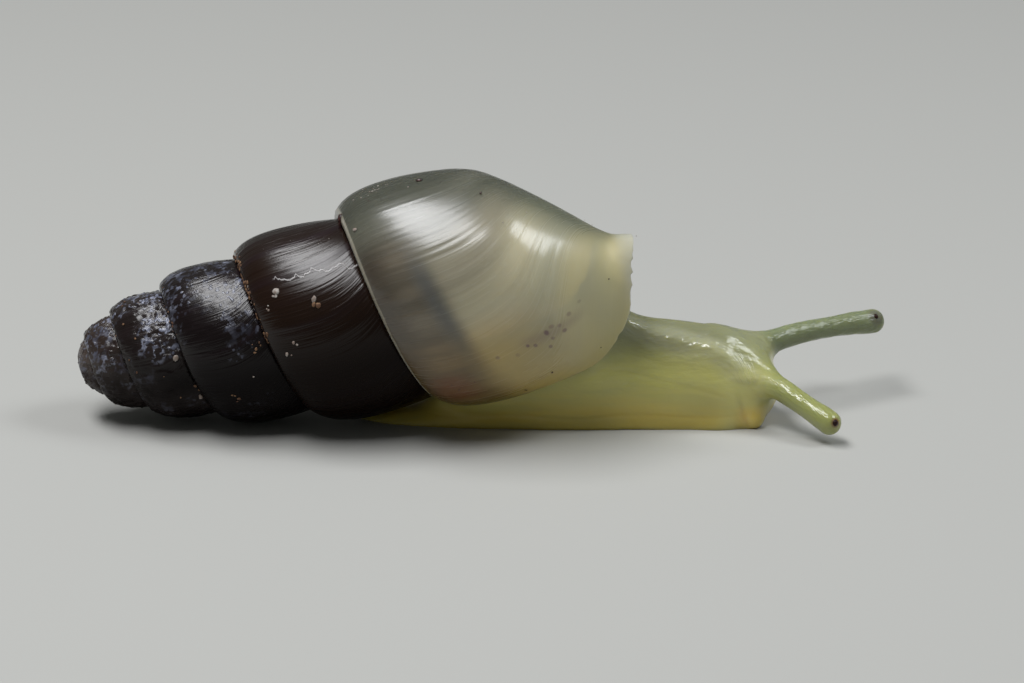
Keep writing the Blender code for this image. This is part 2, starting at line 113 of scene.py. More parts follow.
# Body cross-sections: x, half width, height, middle y, lean towards the right per unit height.
BODY_STATIONS = np.array((
    (-3.71, 0.26, 0.10, 0.41, 0.00),
    (-2.91, 0.72, 0.30, 0.41, 0.00),
    (-1.71, 1.02, 0.60, 0.43, 0.00),
    (-0.61, 1.20, 1.70, 0.45, 0.05),
    (0.69, 1.28, 3.80, 0.46, 0.12),
    (1.89, 1.34, 4.60, 0.46, 0.14),
    (3.09, 1.36, 4.50, 0.46, 0.12),
    (4.59, 1.32, 3.30, 0.46, 0.02),
    (6.49, 1.26, 3.00, 0.44, 0.06),
    (7.49, 1.20, 2.45, 0.41, 0.10),
    (7.99, 1.02, 1.15, 0.38, 0.10),
    (8.25, 0.66, 0.30, 0.38, 0.00),
))
SIDE_POWER = 2.0
TOP_POWER = 1.7

# Crown of the head, snout and front of the foot: centre and radii of an ellipsoid each.
CROWN = ((7.44, 0.38, 1.55), (1.15, 1.05, 1.12))
SNOUT = ((7.85, 0.35, 0.82), (1.00, 0.94, 0.79))
FOOT_FRONT = ((7.15, 0.39, 0.00), (1.15, 1.18, 0.62))

# Feelers: root, bend and tip centre, then the radius at root, middle, narrowest place and tip.
FEELERS = {
    "upper_right": ((8.14, -0.09, 1.62), (9.19, -1.04, 1.24), (10.39, -2.1, 0.66), (0.46, 0.35, 0.33, 0.37)),
    "upper_left": ((8.04, 0.81, 1.95), (9.49, 1.71, 2.40), (11.94, 3.24, 2.13), (0.46, 0.34, 0.31, 0.36)),
    "lower_right": ((7.99, -0.18, 0.82), (8.13, -0.41, 0.50), (8.19, -0.58, 0.27), (0.36, 0.31, 0.28, 0.26)),
    "lower_left": ((8.09, 0.88, 0.80), (8.31, 1.18, 0.58), (8.44, 1.40, 0.44), (0.34, 0.30, 0.27, 0.26)),
}

# Ridge of wet beads: it leaves the middle of the neck and swings out to the right feeler.
RIDGE_FROM = 4.60
RIDGE_LENGTH = 3.5
RIDGE_START = -0.07
RIDGE_SWING = 0.82
RIDGE_POWER = 1.5
RIDGE_WIDTH = 0.14
RIDGE_HEIGHT = 0.085

# Camera: what it looks at, how far it stands, how high it looks down from and its field of view.
CAMERA_TARGET = np.array((0.89, -1.015, 2.86))
CAMERA_DISTANCE = 200.0
CAMERA_ELEVATION = 18.0
FIELD_WIDTH = 30.72
SENSOR_WIDTH = 36.0

# Stage: how far the lamps stand, how far the floor reaches each way, and the even light all round.
LAMP_DISTANCE = 150.0
FLOOR_REACH = 900.0
SKY_COLOUR = (0.80, 0.83, 0.80, 1.0)
SKY_STRENGTH = 0.14


# ------------------------------------------------------------------ settings shown in the sidebar


class SnailShellSettings(bpy.types.PropertyGroup):
    """Sizes and colours of the shell."""

    wall: bpy.props.FloatProperty(
        name="Wall", description="Thickness of the shell at its lip", default=0.00009, unit="LENGTH")
    rib_spacing: bpy.props.FloatProperty(
        name="Rib spacing", description="Distance between growth ribs", default=0.00022, unit="LENGTH")
    rib_height: bpy.props.FloatProperty(
        name="Rib height", description="Height of the growth ribs", default=0.000007, unit="LENGTH")
    dark: bpy.props.FloatVectorProperty(
        name="Spire colour", description="Dark brown of the older whorls", default=(0.0060, 0.0028, 0.0032),
        subtype="COLOR", size=3)
    pearl: bpy.props.FloatVectorProperty(
        name="Pearl colour", description="Cream of the last whorl", default=(0.51, 0.47, 0.32),
        subtype="COLOR", size=3)


class SnailSkinSettings(bpy.types.PropertyGroup):
    """Sizes and colours of the soft body."""

    voxel: bpy.props.FloatProperty(
        name="Skin fineness", description="Grid on which the parts of the body are grown together",
        default=0.000046, unit="LENGTH")
    jelly: bpy.props.FloatVectorProperty(
        name="Skin colour", description="Pale green of neck and head", default=(0.56, 0.54, 0.19),
        subtype="COLOR", size=3)
    sole: bpy.props.FloatVectorProperty(
        name="Foot colour", description="Amber yellow of the edge of the foot", default=(0.55, 0.43, 0.085),
        subtype="COLOR", size=3)


class SnailStageSettings(bpy.types.PropertyGroup):
    """Floor and lights."""

    floor: bpy.props.FloatVectorProperty(
        name="Floor colour", description="Plain pale floor", default=(0.43, 0.43, 0.41),
        subtype="COLOR", size=3)
    key: bpy.props.FloatProperty(
        name="Key light", description="Power of the overhead softbox", default=0.25, unit="POWER")
    second: bpy.props.FloatProperty(
        name="Second light", description="Power of the small softbox ahead of the snail", default=0.082,
        unit="POWER")


# ------------------------------------------------------------------ numpy helpers


def grid_faces(rows, columns, closed=False):
    """Quads of a grid of points; closed joins the last column to the first."""
    across = columns if closed else columns - 1
    i, j = np.meshgrid(np.arange(rows - 1), np.arange(across), indexing="ij")
    turned = (j + 1) % columns
    corners = (i * columns + j, (i + 1) * columns + j, (i + 1) * columns + turned, i * columns + turned)
    return np.stack([c.ravel() for c in corners], axis=1)


def weld(points, faces, layers, reach=1e-4):
    """Merge points that lie within reach of each other and drop the faces that vanish."""
    keys = np.round(points / reach).astype(np.int64)
    unused, first, inverse = np.unique(keys, axis=0, return_index=True, return_inverse=True)
    faces = inverse.ravel()[faces]
    following = np.roll(faces, -1, axis=1)
    distinct = (faces != following).sum(axis=1)
    whole = faces[distinct == 4].tolist()
    partial = faces[distinct == 3]
    keep = (partial != np.roll(partial, -1, axis=1))
    whole += [row[kept].tolist() for row, kept in zip(partial, keep)]
    return points[first], whole, {name: values[first] for name, values in layers.items()}


def piece_from(name, points, faces, layers, paint):
    """Linked, smooth-shaded object from points in millimetres, with one float layer per pattern."""
    mesh = bpy.data.meshes.new(name)
    mesh.from_pydata((points * MM).tolist(), [], faces if isinstance(faces, list) else faces.tolist())
    for key, values in layers.items():
        mesh.attributes.new(key, "FLOAT", "POINT").data.foreach_set("value", values.astype(np.float32))
    mesh.materials.append(paint)
    mesh.shade_smooth()
    mesh.update()
    made = bpy.data.objects.new(name, mesh)
    bpy.context.scene.collection.objects.link(made)
    return made


def ease(part):
    """Cubic curve from 0 to 1 that starts and ends level."""
    return part * part * (3 - 2 * part)


def lattice_noise(points, cell, seed):
    """Smooth noise from -1 to 1: random values on a cubic lattice, eased from node to node."""
    size = 64
    table = np.random.default_rng(seed).uniform(-1.0, 1.0, (size, size, size))
    scaled = points / cell
    low = np.floor(scaled).astype(int)
    part = ease(scaled - low)
    total = np.zeros(len(points))
    for corner in np.ndindex(2, 2, 2):
        weight = np.prod(np.where(corner, part, 1 - part), axis=1)
        total += weight * table[tuple(((low + corner) % size).T)]
    return total


def line_noise(values, seed):
    """Smooth one-dimensional noise from -1 to 1 with one random knot per unit."""
    count = 4096
    knots = np.random.default_rng(seed).uniform(-1.0, 1.0, count)
    low = np.floor(values).astype(int)
    part = ease(values - low)
    return knots[low % count] * (1 - part) + knots[(low + 1) % count] * part


def smoothstep(low, high, values):
    """0 up to low, 1 from high on, and eased between them; it falls where low is the greater."""
    return ease(np.clip((values - low) / (high - low), 0.0, 1.0))


def hump(values, width):
    """Bell curve: 1 where the values are 0, falling by the square of the values over the width."""
    return np.exp(-(values / width) ** 2)


def unit(vectors, least=1e-9):
    """Vectors divided by their length, or by the least length if they are shorter."""
    return vectors / np.maximum(np.linalg.norm(vectors, axis=-1, keepdims=True), least)


def square_axes(forward):
    """Two directions square to each step of a line: one level and one over it."""
    side = unit(np.cross(forward, (0.0, 0.0, 1.0)))
    return side, np.cross(side, forward)


def joined(parts):
    """Points and faces of several surfaces as one list of each."""
    points, faces, start = [], [], 0
    for part_points, part_faces in parts:
        points.append(part_points)
        faces += [[index + start for index in face] for face in part_faces]
        start += len(part_points)
    return np.concatenate(points), faces


# ------------------------------------------------------------------ shell surface


def shell_axes():
    """Axis of the shell, the direction square to it that points up, and the one that points left."""
    pitch, yaw, roll = np.radians((SHELL_PITCH, SHELL_YAW, SHELL_ROLL))
    axis = np.array((math.cos(pitch) * math.cos(yaw), math.cos(pitch) * math.sin(yaw), math.sin(pitch)))
    upright = np.array((0.0, 0.0, 1.0)) - axis * axis[2]
    upright /= np.linalg.norm(upright)
    above = upright * math.cos(roll) + np.cross(upright, axis) * math.sin(roll)
    return axis, above, np.cross(above, axis)


SHELL_AXIS, SHELL_UP, SHELL_LEFT = shell_axes()


def suture_radius(turn):
    """Radius at which the suture lies: a power of the turn."""
    return SUTURE_RADIUS * (np.maximum(turn, 0.0) / SUTURE_TURNS) ** RADIUS_POWER


def suture_axial(turn):
    """Distance along the axis at which the suture lies: a higher power of the turn."""
    return SUTURE_AXIAL * (np.maximum(turn, 0.0) / SUTURE_TURNS) ** AXIAL_POWER


def swelling(turn):
    """How far a whorl bulges beyond the cone through its two sutures.

    It is a share of the radius that grows slowly with the turn, and more on top of the last whorl.
    """
    top = smoothstep(0.0, 1.0, np.sin(2 * np.pi * turn)) * smoothstep(4.6, 5.1, turn)
    return (WHORL_BULGE + BULGE_GAIN * turn) * (1 + TOP_BULGE * top) * suture_radius(turn + 0.5)


def growth_line(down):
    """Turn at which the lip crosses the base: it sweeps back by a high power of the way down."""
    return LIP_TURN - LIP_SWEEP * down ** LIP_SWEEP_POWER


def whorl_profile(turn, across):
    """Radius and axial place on a whorl: a straight cone plus a skewed parabola, full near the suture."""
    near, far = suture_radius(turn), suture_radius(turn + 1)
    start, end = suture_axial(turn), suture_axial(turn + 1)
    skewed = across ** BULGE_SKEW
    bulge = swelling(turn) * 4 * skewed * (1 - skewed)
    return near + (far - near) * across + bulge, start + (end - start) * across


def base_profile(turn, down):
    """Radius and axial place on the base.

    The radius is a power curve from the shoulder in to the columella, on which the slope of the side
    fades out. Near the lip the axial place flares by the square of how near it is.
    """
    radius, start = suture_radius(turn + 1), suture_axial(turn + 1)
    end = COLUMELLA_END + COLUMELLA_DRIFT * (turn - BASE_TURN)
    fullness = BASE_FULLNESS + BASE_FULLNESS_DRIFT * (turn - BASE_TURN)
    rise = radius - suture_radius(turn) - SHOULDER_EASE * swelling(turn)
    slope = rise / np.maximum(start - suture_axial(turn), 1e-3)
    axial = start + (end - start) * down
    curve = radius * (1 - down ** BASE_POWER) ** fullness + slope * (axial - start) * (1 - down) ** 2
    to_lip = np.maximum(1 - (growth_line(down) - turn) / FLARE_TURNS, 0.0)
    lowness = np.clip((down - FLARE_FROM) / (FLARE_FULL - FLARE_FROM), 0.0, 1.0)
    flare = LIP_FLARE * to_lip ** 2 * np.sin(np.pi / 2 * lowness) ** 2
    return np.maximum(curve, 0.0), axial + flare * (1 - 0.9 * smoothstep(0.91, 1.0, down))


def shell_point(turn, radius, axial):
    """Place in the model of points given by turn, radius and distance along the axis.

    They circle the axis once a turn, and the axis sags in the middle by half a sine.
    """
    angle = 2 * np.pi * turn
    sag = SHELL_SAG * np.sin(np.pi * axial / SAG_LENGTH)
    return (APEX + SHELL_AXIS * axial[..., None] + SHELL_LEFT * (radius * np.cos(angle))[..., None]
            + SHELL_UP * (radius * np.sin(angle) - sag)[..., None])


def rib_phase(turn, spacing):
    """Number of ribs from the apex to a turn, for ribs an even distance apart along the suture."""
    power = RADIUS_POWER + 1
    share = (np.maximum(turn, 0.0) / SUTURE_TURNS) ** power
    return 2 * np.pi * SUTURE_RADIUS * SUTURE_TURNS / power * share / spacing


# Fine relief of the shell, millimetres, and the turns between which the old whorls are worn.
SUTURE_WIDTH = 0.025
SUTURE_DEPTH = 0.030
BEAD_HEIGHT = 0.035
BEAD_WIDTH = 0.11
SWELL_HEIGHT = 0.004
PIT_DEPTH = 0.032
CRUST_HEIGHT = 0.022
WAVE_HEIGHT = 0.018
WORN_FROM = 3.95
WORN_FULL = 2.2

# Chipped edge of the lip, and the passes that round off the shoulder above the base.
LIP_RAGGED = 0.045
NOTCH_PLACE = 1.45
NOTCH_WIDTH = 0.035
NOTCH_DEPTH = 2.6
EASE_PASSES = 70

# Rows and columns of points on the shell.
SPIRE_ROWS = 2300
SPIRE_COLUMNS = 37
WHORL_ROWS = 560
BASE_COLUMNS = 66
RIM_ROWS = 7
INSIDE_ROWS = 40
INSIDE_TURNS = 0.16
WALL_ROWS = 60


def clustered(count):
    """Numbers from 0 to 1 that crowd together at both ends, by half a cosine."""
    return (1 - np.cos(np.linspace(0.0, np.pi, count))) / 2


def striae_sweep(place):
    """Turns by which growth lines lean back on their way down: a fourth power, then a parabola."""
    base = np.maximum(place - 1.0, 0.0)
    return 0.0375 * np.minimum(place, 1.0) ** 4 + 0.15 * base + 0.15 * base ** 2


def tone_sweep(place):
    """Turns by which the bands of colour lean back: a fourth power, then straight on the base."""
    return 0.075 * np.minimum(place, 1.0) ** 4 + 0.30 * np.maximum(place - 1.0, 0.0)


def suture_relief(turn, place, axial):
    """A narrow groove along the suture with a low bead on its younger side."""
    down = axial - suture_axial(turn)
    older = (place <= 1) & (turn < SPLIT_TURN)
    up = np.where(older, suture_axial(turn + 1) - axial, 9.0)
    sunk = hump(down, SUTURE_WIDTH)
    groove = np.minimum(sunk + hump(up, 2 * SUTURE_WIDTH), 1.0)
    return BEAD_HEIGHT * (1 - sunk) * hump(down, BEAD_WIDTH) - SUTURE_DEPTH * groove


def rib_relief(turn, place, axial, spacing, height):
    """Growth ribs of uneven height that lean back towards the base, over slow swells."""
    down = axial - suture_axial(turn)
    phase = rib_phase(turn + striae_sweep(place), spacing)
    ribs = line_noise(phase, 11) + 0.6 * line_noise(phase * 2.3 + 0.25 * down, 12)
    ribs = ribs * height * (1 + 0.6 * line_noise(phase / 5, 14)) + SWELL_HEIGHT * line_noise(phase / 9, 13)
    return ribs * smoothstep(0.0, 0.15, down) * (1 - 0.9 * smoothstep(1.0, 1.5, place))


def worn_relief(points, turn):
    """Shallow hollows and crusts of the oldest whorls, fading out on the younger ones."""
    age = smoothstep(WORN_FROM, WORN_FULL, turn)
    hollows = smoothstep(0.15, 0.65, lattice_noise(points, 0.17, 31))
    crust = smoothstep(0.30, 0.70, lattice_noise(points, 0.10, 32))
    waves = lattice_noise(points, 0.45, 33)
    return age * (CRUST_HEIGHT * crust - PIT_DEPTH * hollows + WAVE_HEIGHT * waves)


def shell_outline(turn, place):
    """Radius and axial place of the smooth shell: a whorl's side up to place 1, then the base."""
    side_radius, side_axial = whorl_profile(turn, np.clip(place, 0.0, 1.0))
    base_radius, base_axial = base_profile(turn, np.clip(place - 1.0, 0.0, 1.0))
    return np.where(place <= 1, side_radius, base_radius), np.where(place <= 1, side_axial, base_axial)


def bare_shell(turn, place):
    """Points of the smooth shell with their distance along the axis."""
    radius, axial = shell_outline(turn, place)
    return shell_point(turn, np.where(turn <= -1, 0.0, radius), axial), axial


def shoulder_ease(turn, place):
    """Offsets that round off the ridge between side and base.

    Each row of points is averaged with its neighbours again and again; the offset is what that moves.
    """
    points = bare_shell(turn, place)[0]
    start = points.copy()
    share = smoothstep(0.50, 0.75, place) * (1 - smoothstep(1.75, 1.95, place))
    share = 0.5 * (share * smoothstep(SPLIT_TURN, SPLIT_TURN + 0.1, turn))[:, 1:-1, None]
    for unused in range(EASE_PASSES):
        mean = (points[:, :-2] + points[:, 2:]) / 2
        points[:, 1:-1] += (mean - points[:, 1:-1]) * share
    return points - start


def shell_patch(turn, place, inset, eased, settings):
    """Points and pattern layers of a patch of shell.

    place runs from 0 at the suture to 1 at the shoulder and on to 2 at the columella. Relief and inset
    are laid along the normal, the cross product of the grid's two directions turned outwards.
    """
    points, axial = bare_shell(turn, place)
    points = points + eased
    size = np.clip(suture_radius(turn + 0.5) / SUTURE_RADIUS, 0.15, 1.0)
    ribs = rib_relief(turn, place, axial, settings.rib_spacing / MM, settings.rib_height / MM)
    relief = size * (suture_relief(turn, place, axial) + ribs)
    relief += worn_relief(points.reshape(-1, 3), turn.ravel()).reshape(turn.shape)
    outward = points - (APEX + SHELL_AXIS * axial[..., None])
    normal = unit(np.cross(np.gradient(points, axis=0), np.gradient(points, axis=1)))
    normal *= np.where((normal * outward).sum(axis=2, keepdims=True) < 0, -1.0, 1.0)
    fold = smoothstep(2.0, 1.85, place) * smoothstep(-1.0, -0.7, turn)
    points = points + normal * ((relief - inset) * fold)[..., None]
    layers = {
        "turn": turn,
        "growth": turn + striae_sweep(place),
        "tone": turn + tone_sweep(place),
        "down": axial - suture_axial(turn),
        "lip": lip_distance(turn, place),
    }
    return points.reshape(-1, 3), {key: value.ravel() for key, value in layers.items()}


def lip_distance(turn, place):
    """Length of shell round the whorl between a point and the lip: the turns left times the girth."""
    end = growth_line(np.clip(place - 1.0, 0.0, 1.0))
    radius = np.where(place <= 1, suture_radius(turn + 1), suture_radius(turn + 1) * (2.05 - place))
    return np.clip(end - turn, 0.0, 1.0) * 2 * np.pi * radius


def lip_end(place):
    """Turn at which the shell ends, a row at a time, with the chipped edge of new shell."""
    down = np.clip(place - 1.0, 0.0, 1.0)
    end = growth_line(down)
    radius = np.maximum(base_profile(end, down)[0], 1.0)
    ragged = np.abs(line_noise(place * 17, 21)) + 0.5 * np.abs(line_noise(place * 48, 22))
    ragged = ragged + 2.0 * np.abs(line_noise(place * 75, 23)) * smoothstep(1.58, 1.72, place)
    ragged = ragged + NOTCH_DEPTH * hump(place - NOTCH_PLACE, NOTCH_WIDTH)
    strength = smoothstep(0.9, 1.3, place) * (1 - smoothstep(1.80, 1.90, place))
    return end - LIP_RAGGED * strength * ragged / (2 * np.pi * radius)


def shell_from_grids(name, grids, settings, paint):
    """Object from patches of shell, each a grid of turn, place, inset and eased, welded together."""
    points, faces, layers, start = [], [], [], 0
    for grid in grids:
        patch, marks = shell_patch(*grid, settings)
        faces.append(grid_faces(*grid[0].shape) + start)
        points.append(patch)
        layers.append(marks)
        start += len(patch)
    whole = {key: np.concatenate([marks[key] for marks in layers]) for key in layers[0]}
    return piece_from(name, *weld(np.concatenate(points), np.concatenate(faces), whole), paint)


def spire_piece(settings, paint):
    """The older whorls: side strips from the apex to the turn where the last whorl begins."""
    part = np.linspace(0.0, 1.0, SPIRE_ROWS)
    turns = -1.0 + (SPLIT_TURN + 1.0) * (0.45 * part + 0.55 * part ** 0.6)
    turn, place = np.meshgrid(turns, clustered(SPIRE_COLUMNS), indexing="ij")
    return shell_from_grids("shell_spire", [(turn, place, np.zeros_like(turn), 0.0)], settings, paint)


def last_whorl_piece(settings, paint):
    """The last whorl with its base, rolled lip, the inside behind it and the wall across the mouth."""
    side = np.concatenate([clustered(24)[:12], np.linspace(0.5, 1.0, 30)])
    base = 1.0 + np.linspace(0.0, 1.0, BASE_COLUMNS)[1:]
    whole = np.concatenate([side, base])
    wall = settings.wall / MM
    part = np.linspace(0.0, 1.0, WHORL_ROWS)[:, None]
    ends = lip_end(whole)[None]
    even = SPLIT_TURN + (growth_line(np.clip(whole - 1.0, 0.0, 1.0))[None] - SPLIT_TURN) * part
    eased = shoulder_ease(even, np.repeat(whole[None], len(even), 0))
    turn = SPLIT_TURN + (ends - SPLIT_TURN) * part
    curl = np.linspace(0.0, np.pi, RIM_ROWS)[1:, None]
    rim = ends + np.sin(curl) * wall * 0.5 / (2 * np.pi * SUTURE_RADIUS)
    back = ends - np.linspace(0.0, INSIDE_TURNS, INSIDE_ROWS)[1:, None]
    inset = [np.zeros_like(turn), (1 - np.cos(curl)) * wall / 2 + 0 * rim, wall + 0 * back]
    eased = np.concatenate([eased, np.repeat(eased[-1:], len(rim) + len(back), 0)])
    turn = np.concatenate([turn, rim, back])
    outside = (turn, np.repeat(whole[None], len(turn), 0), np.concatenate(inset), eased)
    inner, across = np.meshgrid(np.linspace(WALL_TURNS, SPLIT_TURN, WALL_ROWS), base, indexing="ij")
    mouth = (inner, across, np.zeros_like(inner), 0.0)
    return shell_from_grids("shell_body_whorl", [outside, mouth], settings, paint)


def surface_spot(turn, down):
    """Place and outward direction on the smooth shell at a turn and a distance down the whorl."""

    def at(turn, down):
        axial = suture_axial(turn) + down
        shoulder = suture_axial(turn + 1)
        end = COLUMELLA_END + COLUMELLA_DRIFT * (turn - BASE_TURN)
        low = np.clip((axial - shoulder) / (end - shoulder), 0.0, 1.0)
        place = down / (shoulder - suture_axial(turn))
        return shell_point(turn, shell_outline(turn, np.where(place <= 1, place, 1 + low))[0], axial)

    here = at(turn, down)
    out = unit(np.cross(at(turn, down + 0.02) - here, at(turn + 0.002, down) - here))
    middle = APEX + SHELL_AXIS * (suture_axial(turn) + down)[..., None]
    return here, out * np.sign(((here - middle) * out).sum(axis=-1, keepdims=True))


# ------------------------------------------------------------------ body surface


def station_values(x):
    """Cubic reading of the body stations at x: half width, height, middle and lean."""
    places, values = BODY_STATIONS[:, 0], BODY_STATIONS[:, 1:]
    low = np.clip(np.searchsorted(places, x, side="left") - 1, 0, len(places) - 2)
    high = low + 1
    span = places[high] - places[low]
    part = ((x - places[low]) / span)[:, None]

    def slope(start, end):
        reach = np.maximum(places[end] - places[start], span)
        return (values[end] - values[start]) * (span / reach)[:, None]

    return (values[low] * (2 * part ** 3 - 3 * part ** 2 + 1)
            + slope(np.maximum(low - 1, 0), high) * (part ** 3 - 2 * part ** 2 + part)
            + values[high] * (3 * part ** 2 - 2 * part ** 3)
            + slope(low, np.minimum(low + 2, len(places) - 1)) * (part ** 3 - part ** 2))


def closed_tube(rings):
    """Points and faces of a tube of rings whose two ends are drawn in to a point."""
    first = np.repeat(rings[:1].mean(axis=1, keepdims=True), rings.shape[1], 1)
    last = np.repeat(rings[-1:].mean(axis=1, keepdims=True), rings.shape[1], 1)
    whole = np.concatenate([first, rings, last])
    points, faces, unused = weld(whole.reshape(-1, 3), grid_faces(*whole.shape[:2], closed=True), {})
    return points, faces


def body_surface():
    """Arch over a flat sole, swept from the tail to the front of the foot.

    The arch is a superellipse of the stations' half width and height that leans over with its height.
    """
    x = np.linspace(BODY_STATIONS[0, 0], BODY_STATIONS[-1, 0], 200)
    half, height, middle, lean = station_values(x).T
    angle = np.linspace(0.0, np.pi, 61)
    aside = -np.sign(np.cos(angle)) * np.abs(np.cos(angle)) ** (2 / SIDE_POWER)
    up = np.abs(np.sin(angle)) ** (2 / TOP_POWER)
    up[[0, -1]] = 0.0
    sole = np.linspace(1.0, -1.0, 22)[1:-1]
    across = np.concatenate([aside, sole])
    tall = np.concatenate([up, np.zeros(len(sole))])
    z = height[:, None] * tall
    y = middle[:, None] + half[:, None] * across - lean[:, None] * z
    return closed_tube(np.stack([np.repeat(x[:, None], len(across), 1), y, z], axis=2))


def ball_surface(centre, radii, around=48, rings=32):
    """Ellipsoid: latitude from pole to pole, longitude all round."""
    latitude = np.linspace(-np.pi / 2, np.pi / 2, rings + 1)[1:-1, None]
    longitude = np.linspace(0.0, 2 * np.pi, around, endpoint=False)[None]
    ball = np.stack([np.cos(latitude) * np.cos(longitude), np.cos(latitude) * np.sin(longitude),
                     np.sin(latitude) + 0 * longitude], axis=2)
    return closed_tube(ball * np.array(radii) + np.array(centre))


def feeler_line(shape, steps=70):
    """Middle line, widths and length along a feeler.

    The line is a quadratic curve from root to tip; the radius is eased from one width to the next.
    """
    root, bend, tip = (np.array(point) for point in shape[:3])
    radii = np.array(shape[3])
    part = np.linspace(0.0, 1.0, steps)[:, None]
    centre = root * (1 - part) ** 2 + bend * (2 * part * (1 - part)) + tip * part ** 2
    spans = len(radii) - 1
    reach = part[:, 0] * spans
    index = np.minimum(reach.astype(int), spans - 1)
    radius = radii[index] + (radii[index + 1] - radii[index]) * ease(reach - index)
    length = np.concatenate([[0.0], np.cumsum(np.linalg.norm(np.diff(centre, axis=0), axis=1))])
    return centre, radius, length


def feeler_surface(shape, around=36, steps=60):
    """Stalk of rings square to the feeler's middle line, with a round tip."""
    centre, radius, unused = feeler_line(shape, steps)
    root, bend, tip = (np.array(point) for point in shape[:3])
    part = np.linspace(0.0, 1.0, steps)[:, None]
    along = (bend - root) * (1 - part) + (tip - bend) * part
    end = np.linspace(0.0, np.pi / 2, 14)[1:-1]
    forward = unit(along[-1])
    centre = np.concatenate([centre, tip + forward * (radius[-1] * np.sin(end))[:, None]])
    along = np.concatenate([along, np.repeat(forward[None], len(end), 0)])
    radius = np.concatenate([radius, radius[-1] * np.cos(end)])[:, None, None]
    side, over = (axis[:, None] for axis in square_axes(unit(along)))
    angle = np.linspace(0.0, 2 * np.pi, around, endpoint=False)[None, :, None]
    return closed_tube(centre[:, None] + radius * (side * np.cos(angle) + over * np.sin(angle)))


# Depths behind the lip between which the collar lies, and how far it keeps inside the shell.
COLLAR_BACK = 0.75
COLLAR_FRONT = 0.22
COLLAR_INSET = 0.22


def collar_surface():
    """Fold of flesh that fills the mouth of the shell, ruled from the lip to the inner wall."""
    place = np.linspace(0.25, 1.70, 50)
    down = np.clip(place - 1.0, 0.0, 1.0)
    end = growth_line(down)
    reach = 2 * np.pi * np.maximum(base_profile(end, down)[0], 1.2)
    across = np.linspace(0.0, 1.0, 16)[None, :, None]
    sheets = []
    for depth in (COLLAR_BACK, COLLAR_FRONT):
        turn = end - depth / reach
        radius, axial = shell_outline(turn, place)
        outer = shell_point(turn, radius - COLLAR_INSET, axial)
        wall_turn = SPLIT_TURN + 0.02 - depth / reach * 0.5
        inner = shell_point(wall_turn, *base_profile(wall_turn, np.linspace(0.05, 0.85, 50)))
        sheets.append(outer[:, None] * (1 - across) + inner[:, None] * across)
    back, front = sheets
    return closed_tube(np.concatenate([back, front[:, ::-1]], axis=1))


def grow_together(name, parts, voxel):
    """Points and quads of the closed parts grown into one skin on a cubic grid, then smoothed."""
    points, faces = joined(parts)
    mesh = bpy.data.meshes.new(name)
    mesh.from_pydata(points.tolist(), [], faces)
    carrier = bpy.data.objects.new(name, mesh)
    bpy.context.scene.collection.objects.link(carrier)
    remesh = carrier.modifiers.new("grow_together", "REMESH")
    remesh.mode = "VOXEL"
    remesh.voxel_size = voxel
    smooth = carrier.modifiers.new("soften", "SMOOTH")
    smooth.factor = 0.5
    smooth.iterations = 8
    depsgraph = bpy.context.evaluated_depsgraph_get()
    grown = bpy.data.meshes.new_from_object(carrier.evaluated_get(depsgraph))
    bpy.data.objects.remove(carrier, do_unlink=True)
    coordinates = np.empty(len(grown.vertices) * 3, np.float32)
    grown.vertices.foreach_get("co", coordinates)
    corners = np.empty(len(grown.loops), np.int32)
    grown.loops.foreach_get("vertex_index", corners)
    for used in (mesh, grown):
        bpy.data.meshes.remove(used)
    return coordinates.reshape(-1, 3).astype(float), corners.reshape(-1, 4)


# Widths over which the parts of the head flow into one another, and the x between which that sets in.
HEAD_BLEND = 0.9
FEELER_BLEND = 0.62
LOBE_BLEND = 0.45
BLEND_FROM = 4.7
BLEND_FULL = 5.4

# Where the arch of the body ends, the length over which it rounds off, and the step that slopes take.
ARCH_KEPT = 6.7
ARCH_ROUND = 1.5
PROBE = 0.01


def soft_union(first, second, width):
    """Smaller of two distances, rounded off where they differ by less than the width."""
    share = np.clip(0.5 + 0.5 * (second - first) / width, 0.0, 1.0)
    return second + (first - second) * share - width * share * (1 - share)


def body_level(points):
    """How far out a point lies compared with the arch of the body at its x; 1 is on the arch."""
    x = np.clip(points[:, 0], BODY_STATIONS[0, 0], ARCH_KEPT)
    half, height, middle, lean = station_values(x).T
    z = np.maximum(points[:, 2], 0.0)
    aside = np.abs((points[:, 1] - middle + lean * z) / half)
    beyond = np.maximum(points[:, 0] - ARCH_KEPT, 0.0) / ARCH_ROUND
    return np.sqrt(aside ** SIDE_POWER + (z / height) ** TOP_POWER + beyond ** 2)


def slopes(field, points, here):
    """Rate of change of a field at the points along x, y and z, from short steps."""
    return np.stack([(field(points + step) - here) / PROBE for step in np.eye(3) * PROBE], axis=1)


def body_distance(points):
    """Distance to the arch: how far out the point lies, divided by how fast that grows."""
    level = body_level(points)
    rate = np.linalg.norm(slopes(body_level, points, level), axis=1)
    return (level - 1) / np.maximum(rate, 0.2)


def ball_distance(points, centre, radii):
    """Distance to an ellipsoid, from the lengths of the point in units of the radii."""
    offset = points - np.array(centre)
    near = np.linalg.norm(offset / np.array(radii), axis=1)
    far = np.linalg.norm(offset / np.array(radii) ** 2, axis=1)
    return near * (near - 1) / np.maximum(far, 1e-6)


def feeler_distance(points, shape):
    """Distance to a feeler and the number of the nearest step of its middle line."""
    centre, radius, unused = feeler_line(shape)
    gap = np.linalg.norm(points[:, None] - centre[None], axis=2) - radius[None]
    nearest = gap.argmin(axis=1)
    return gap[np.arange(len(points)), nearest], nearest


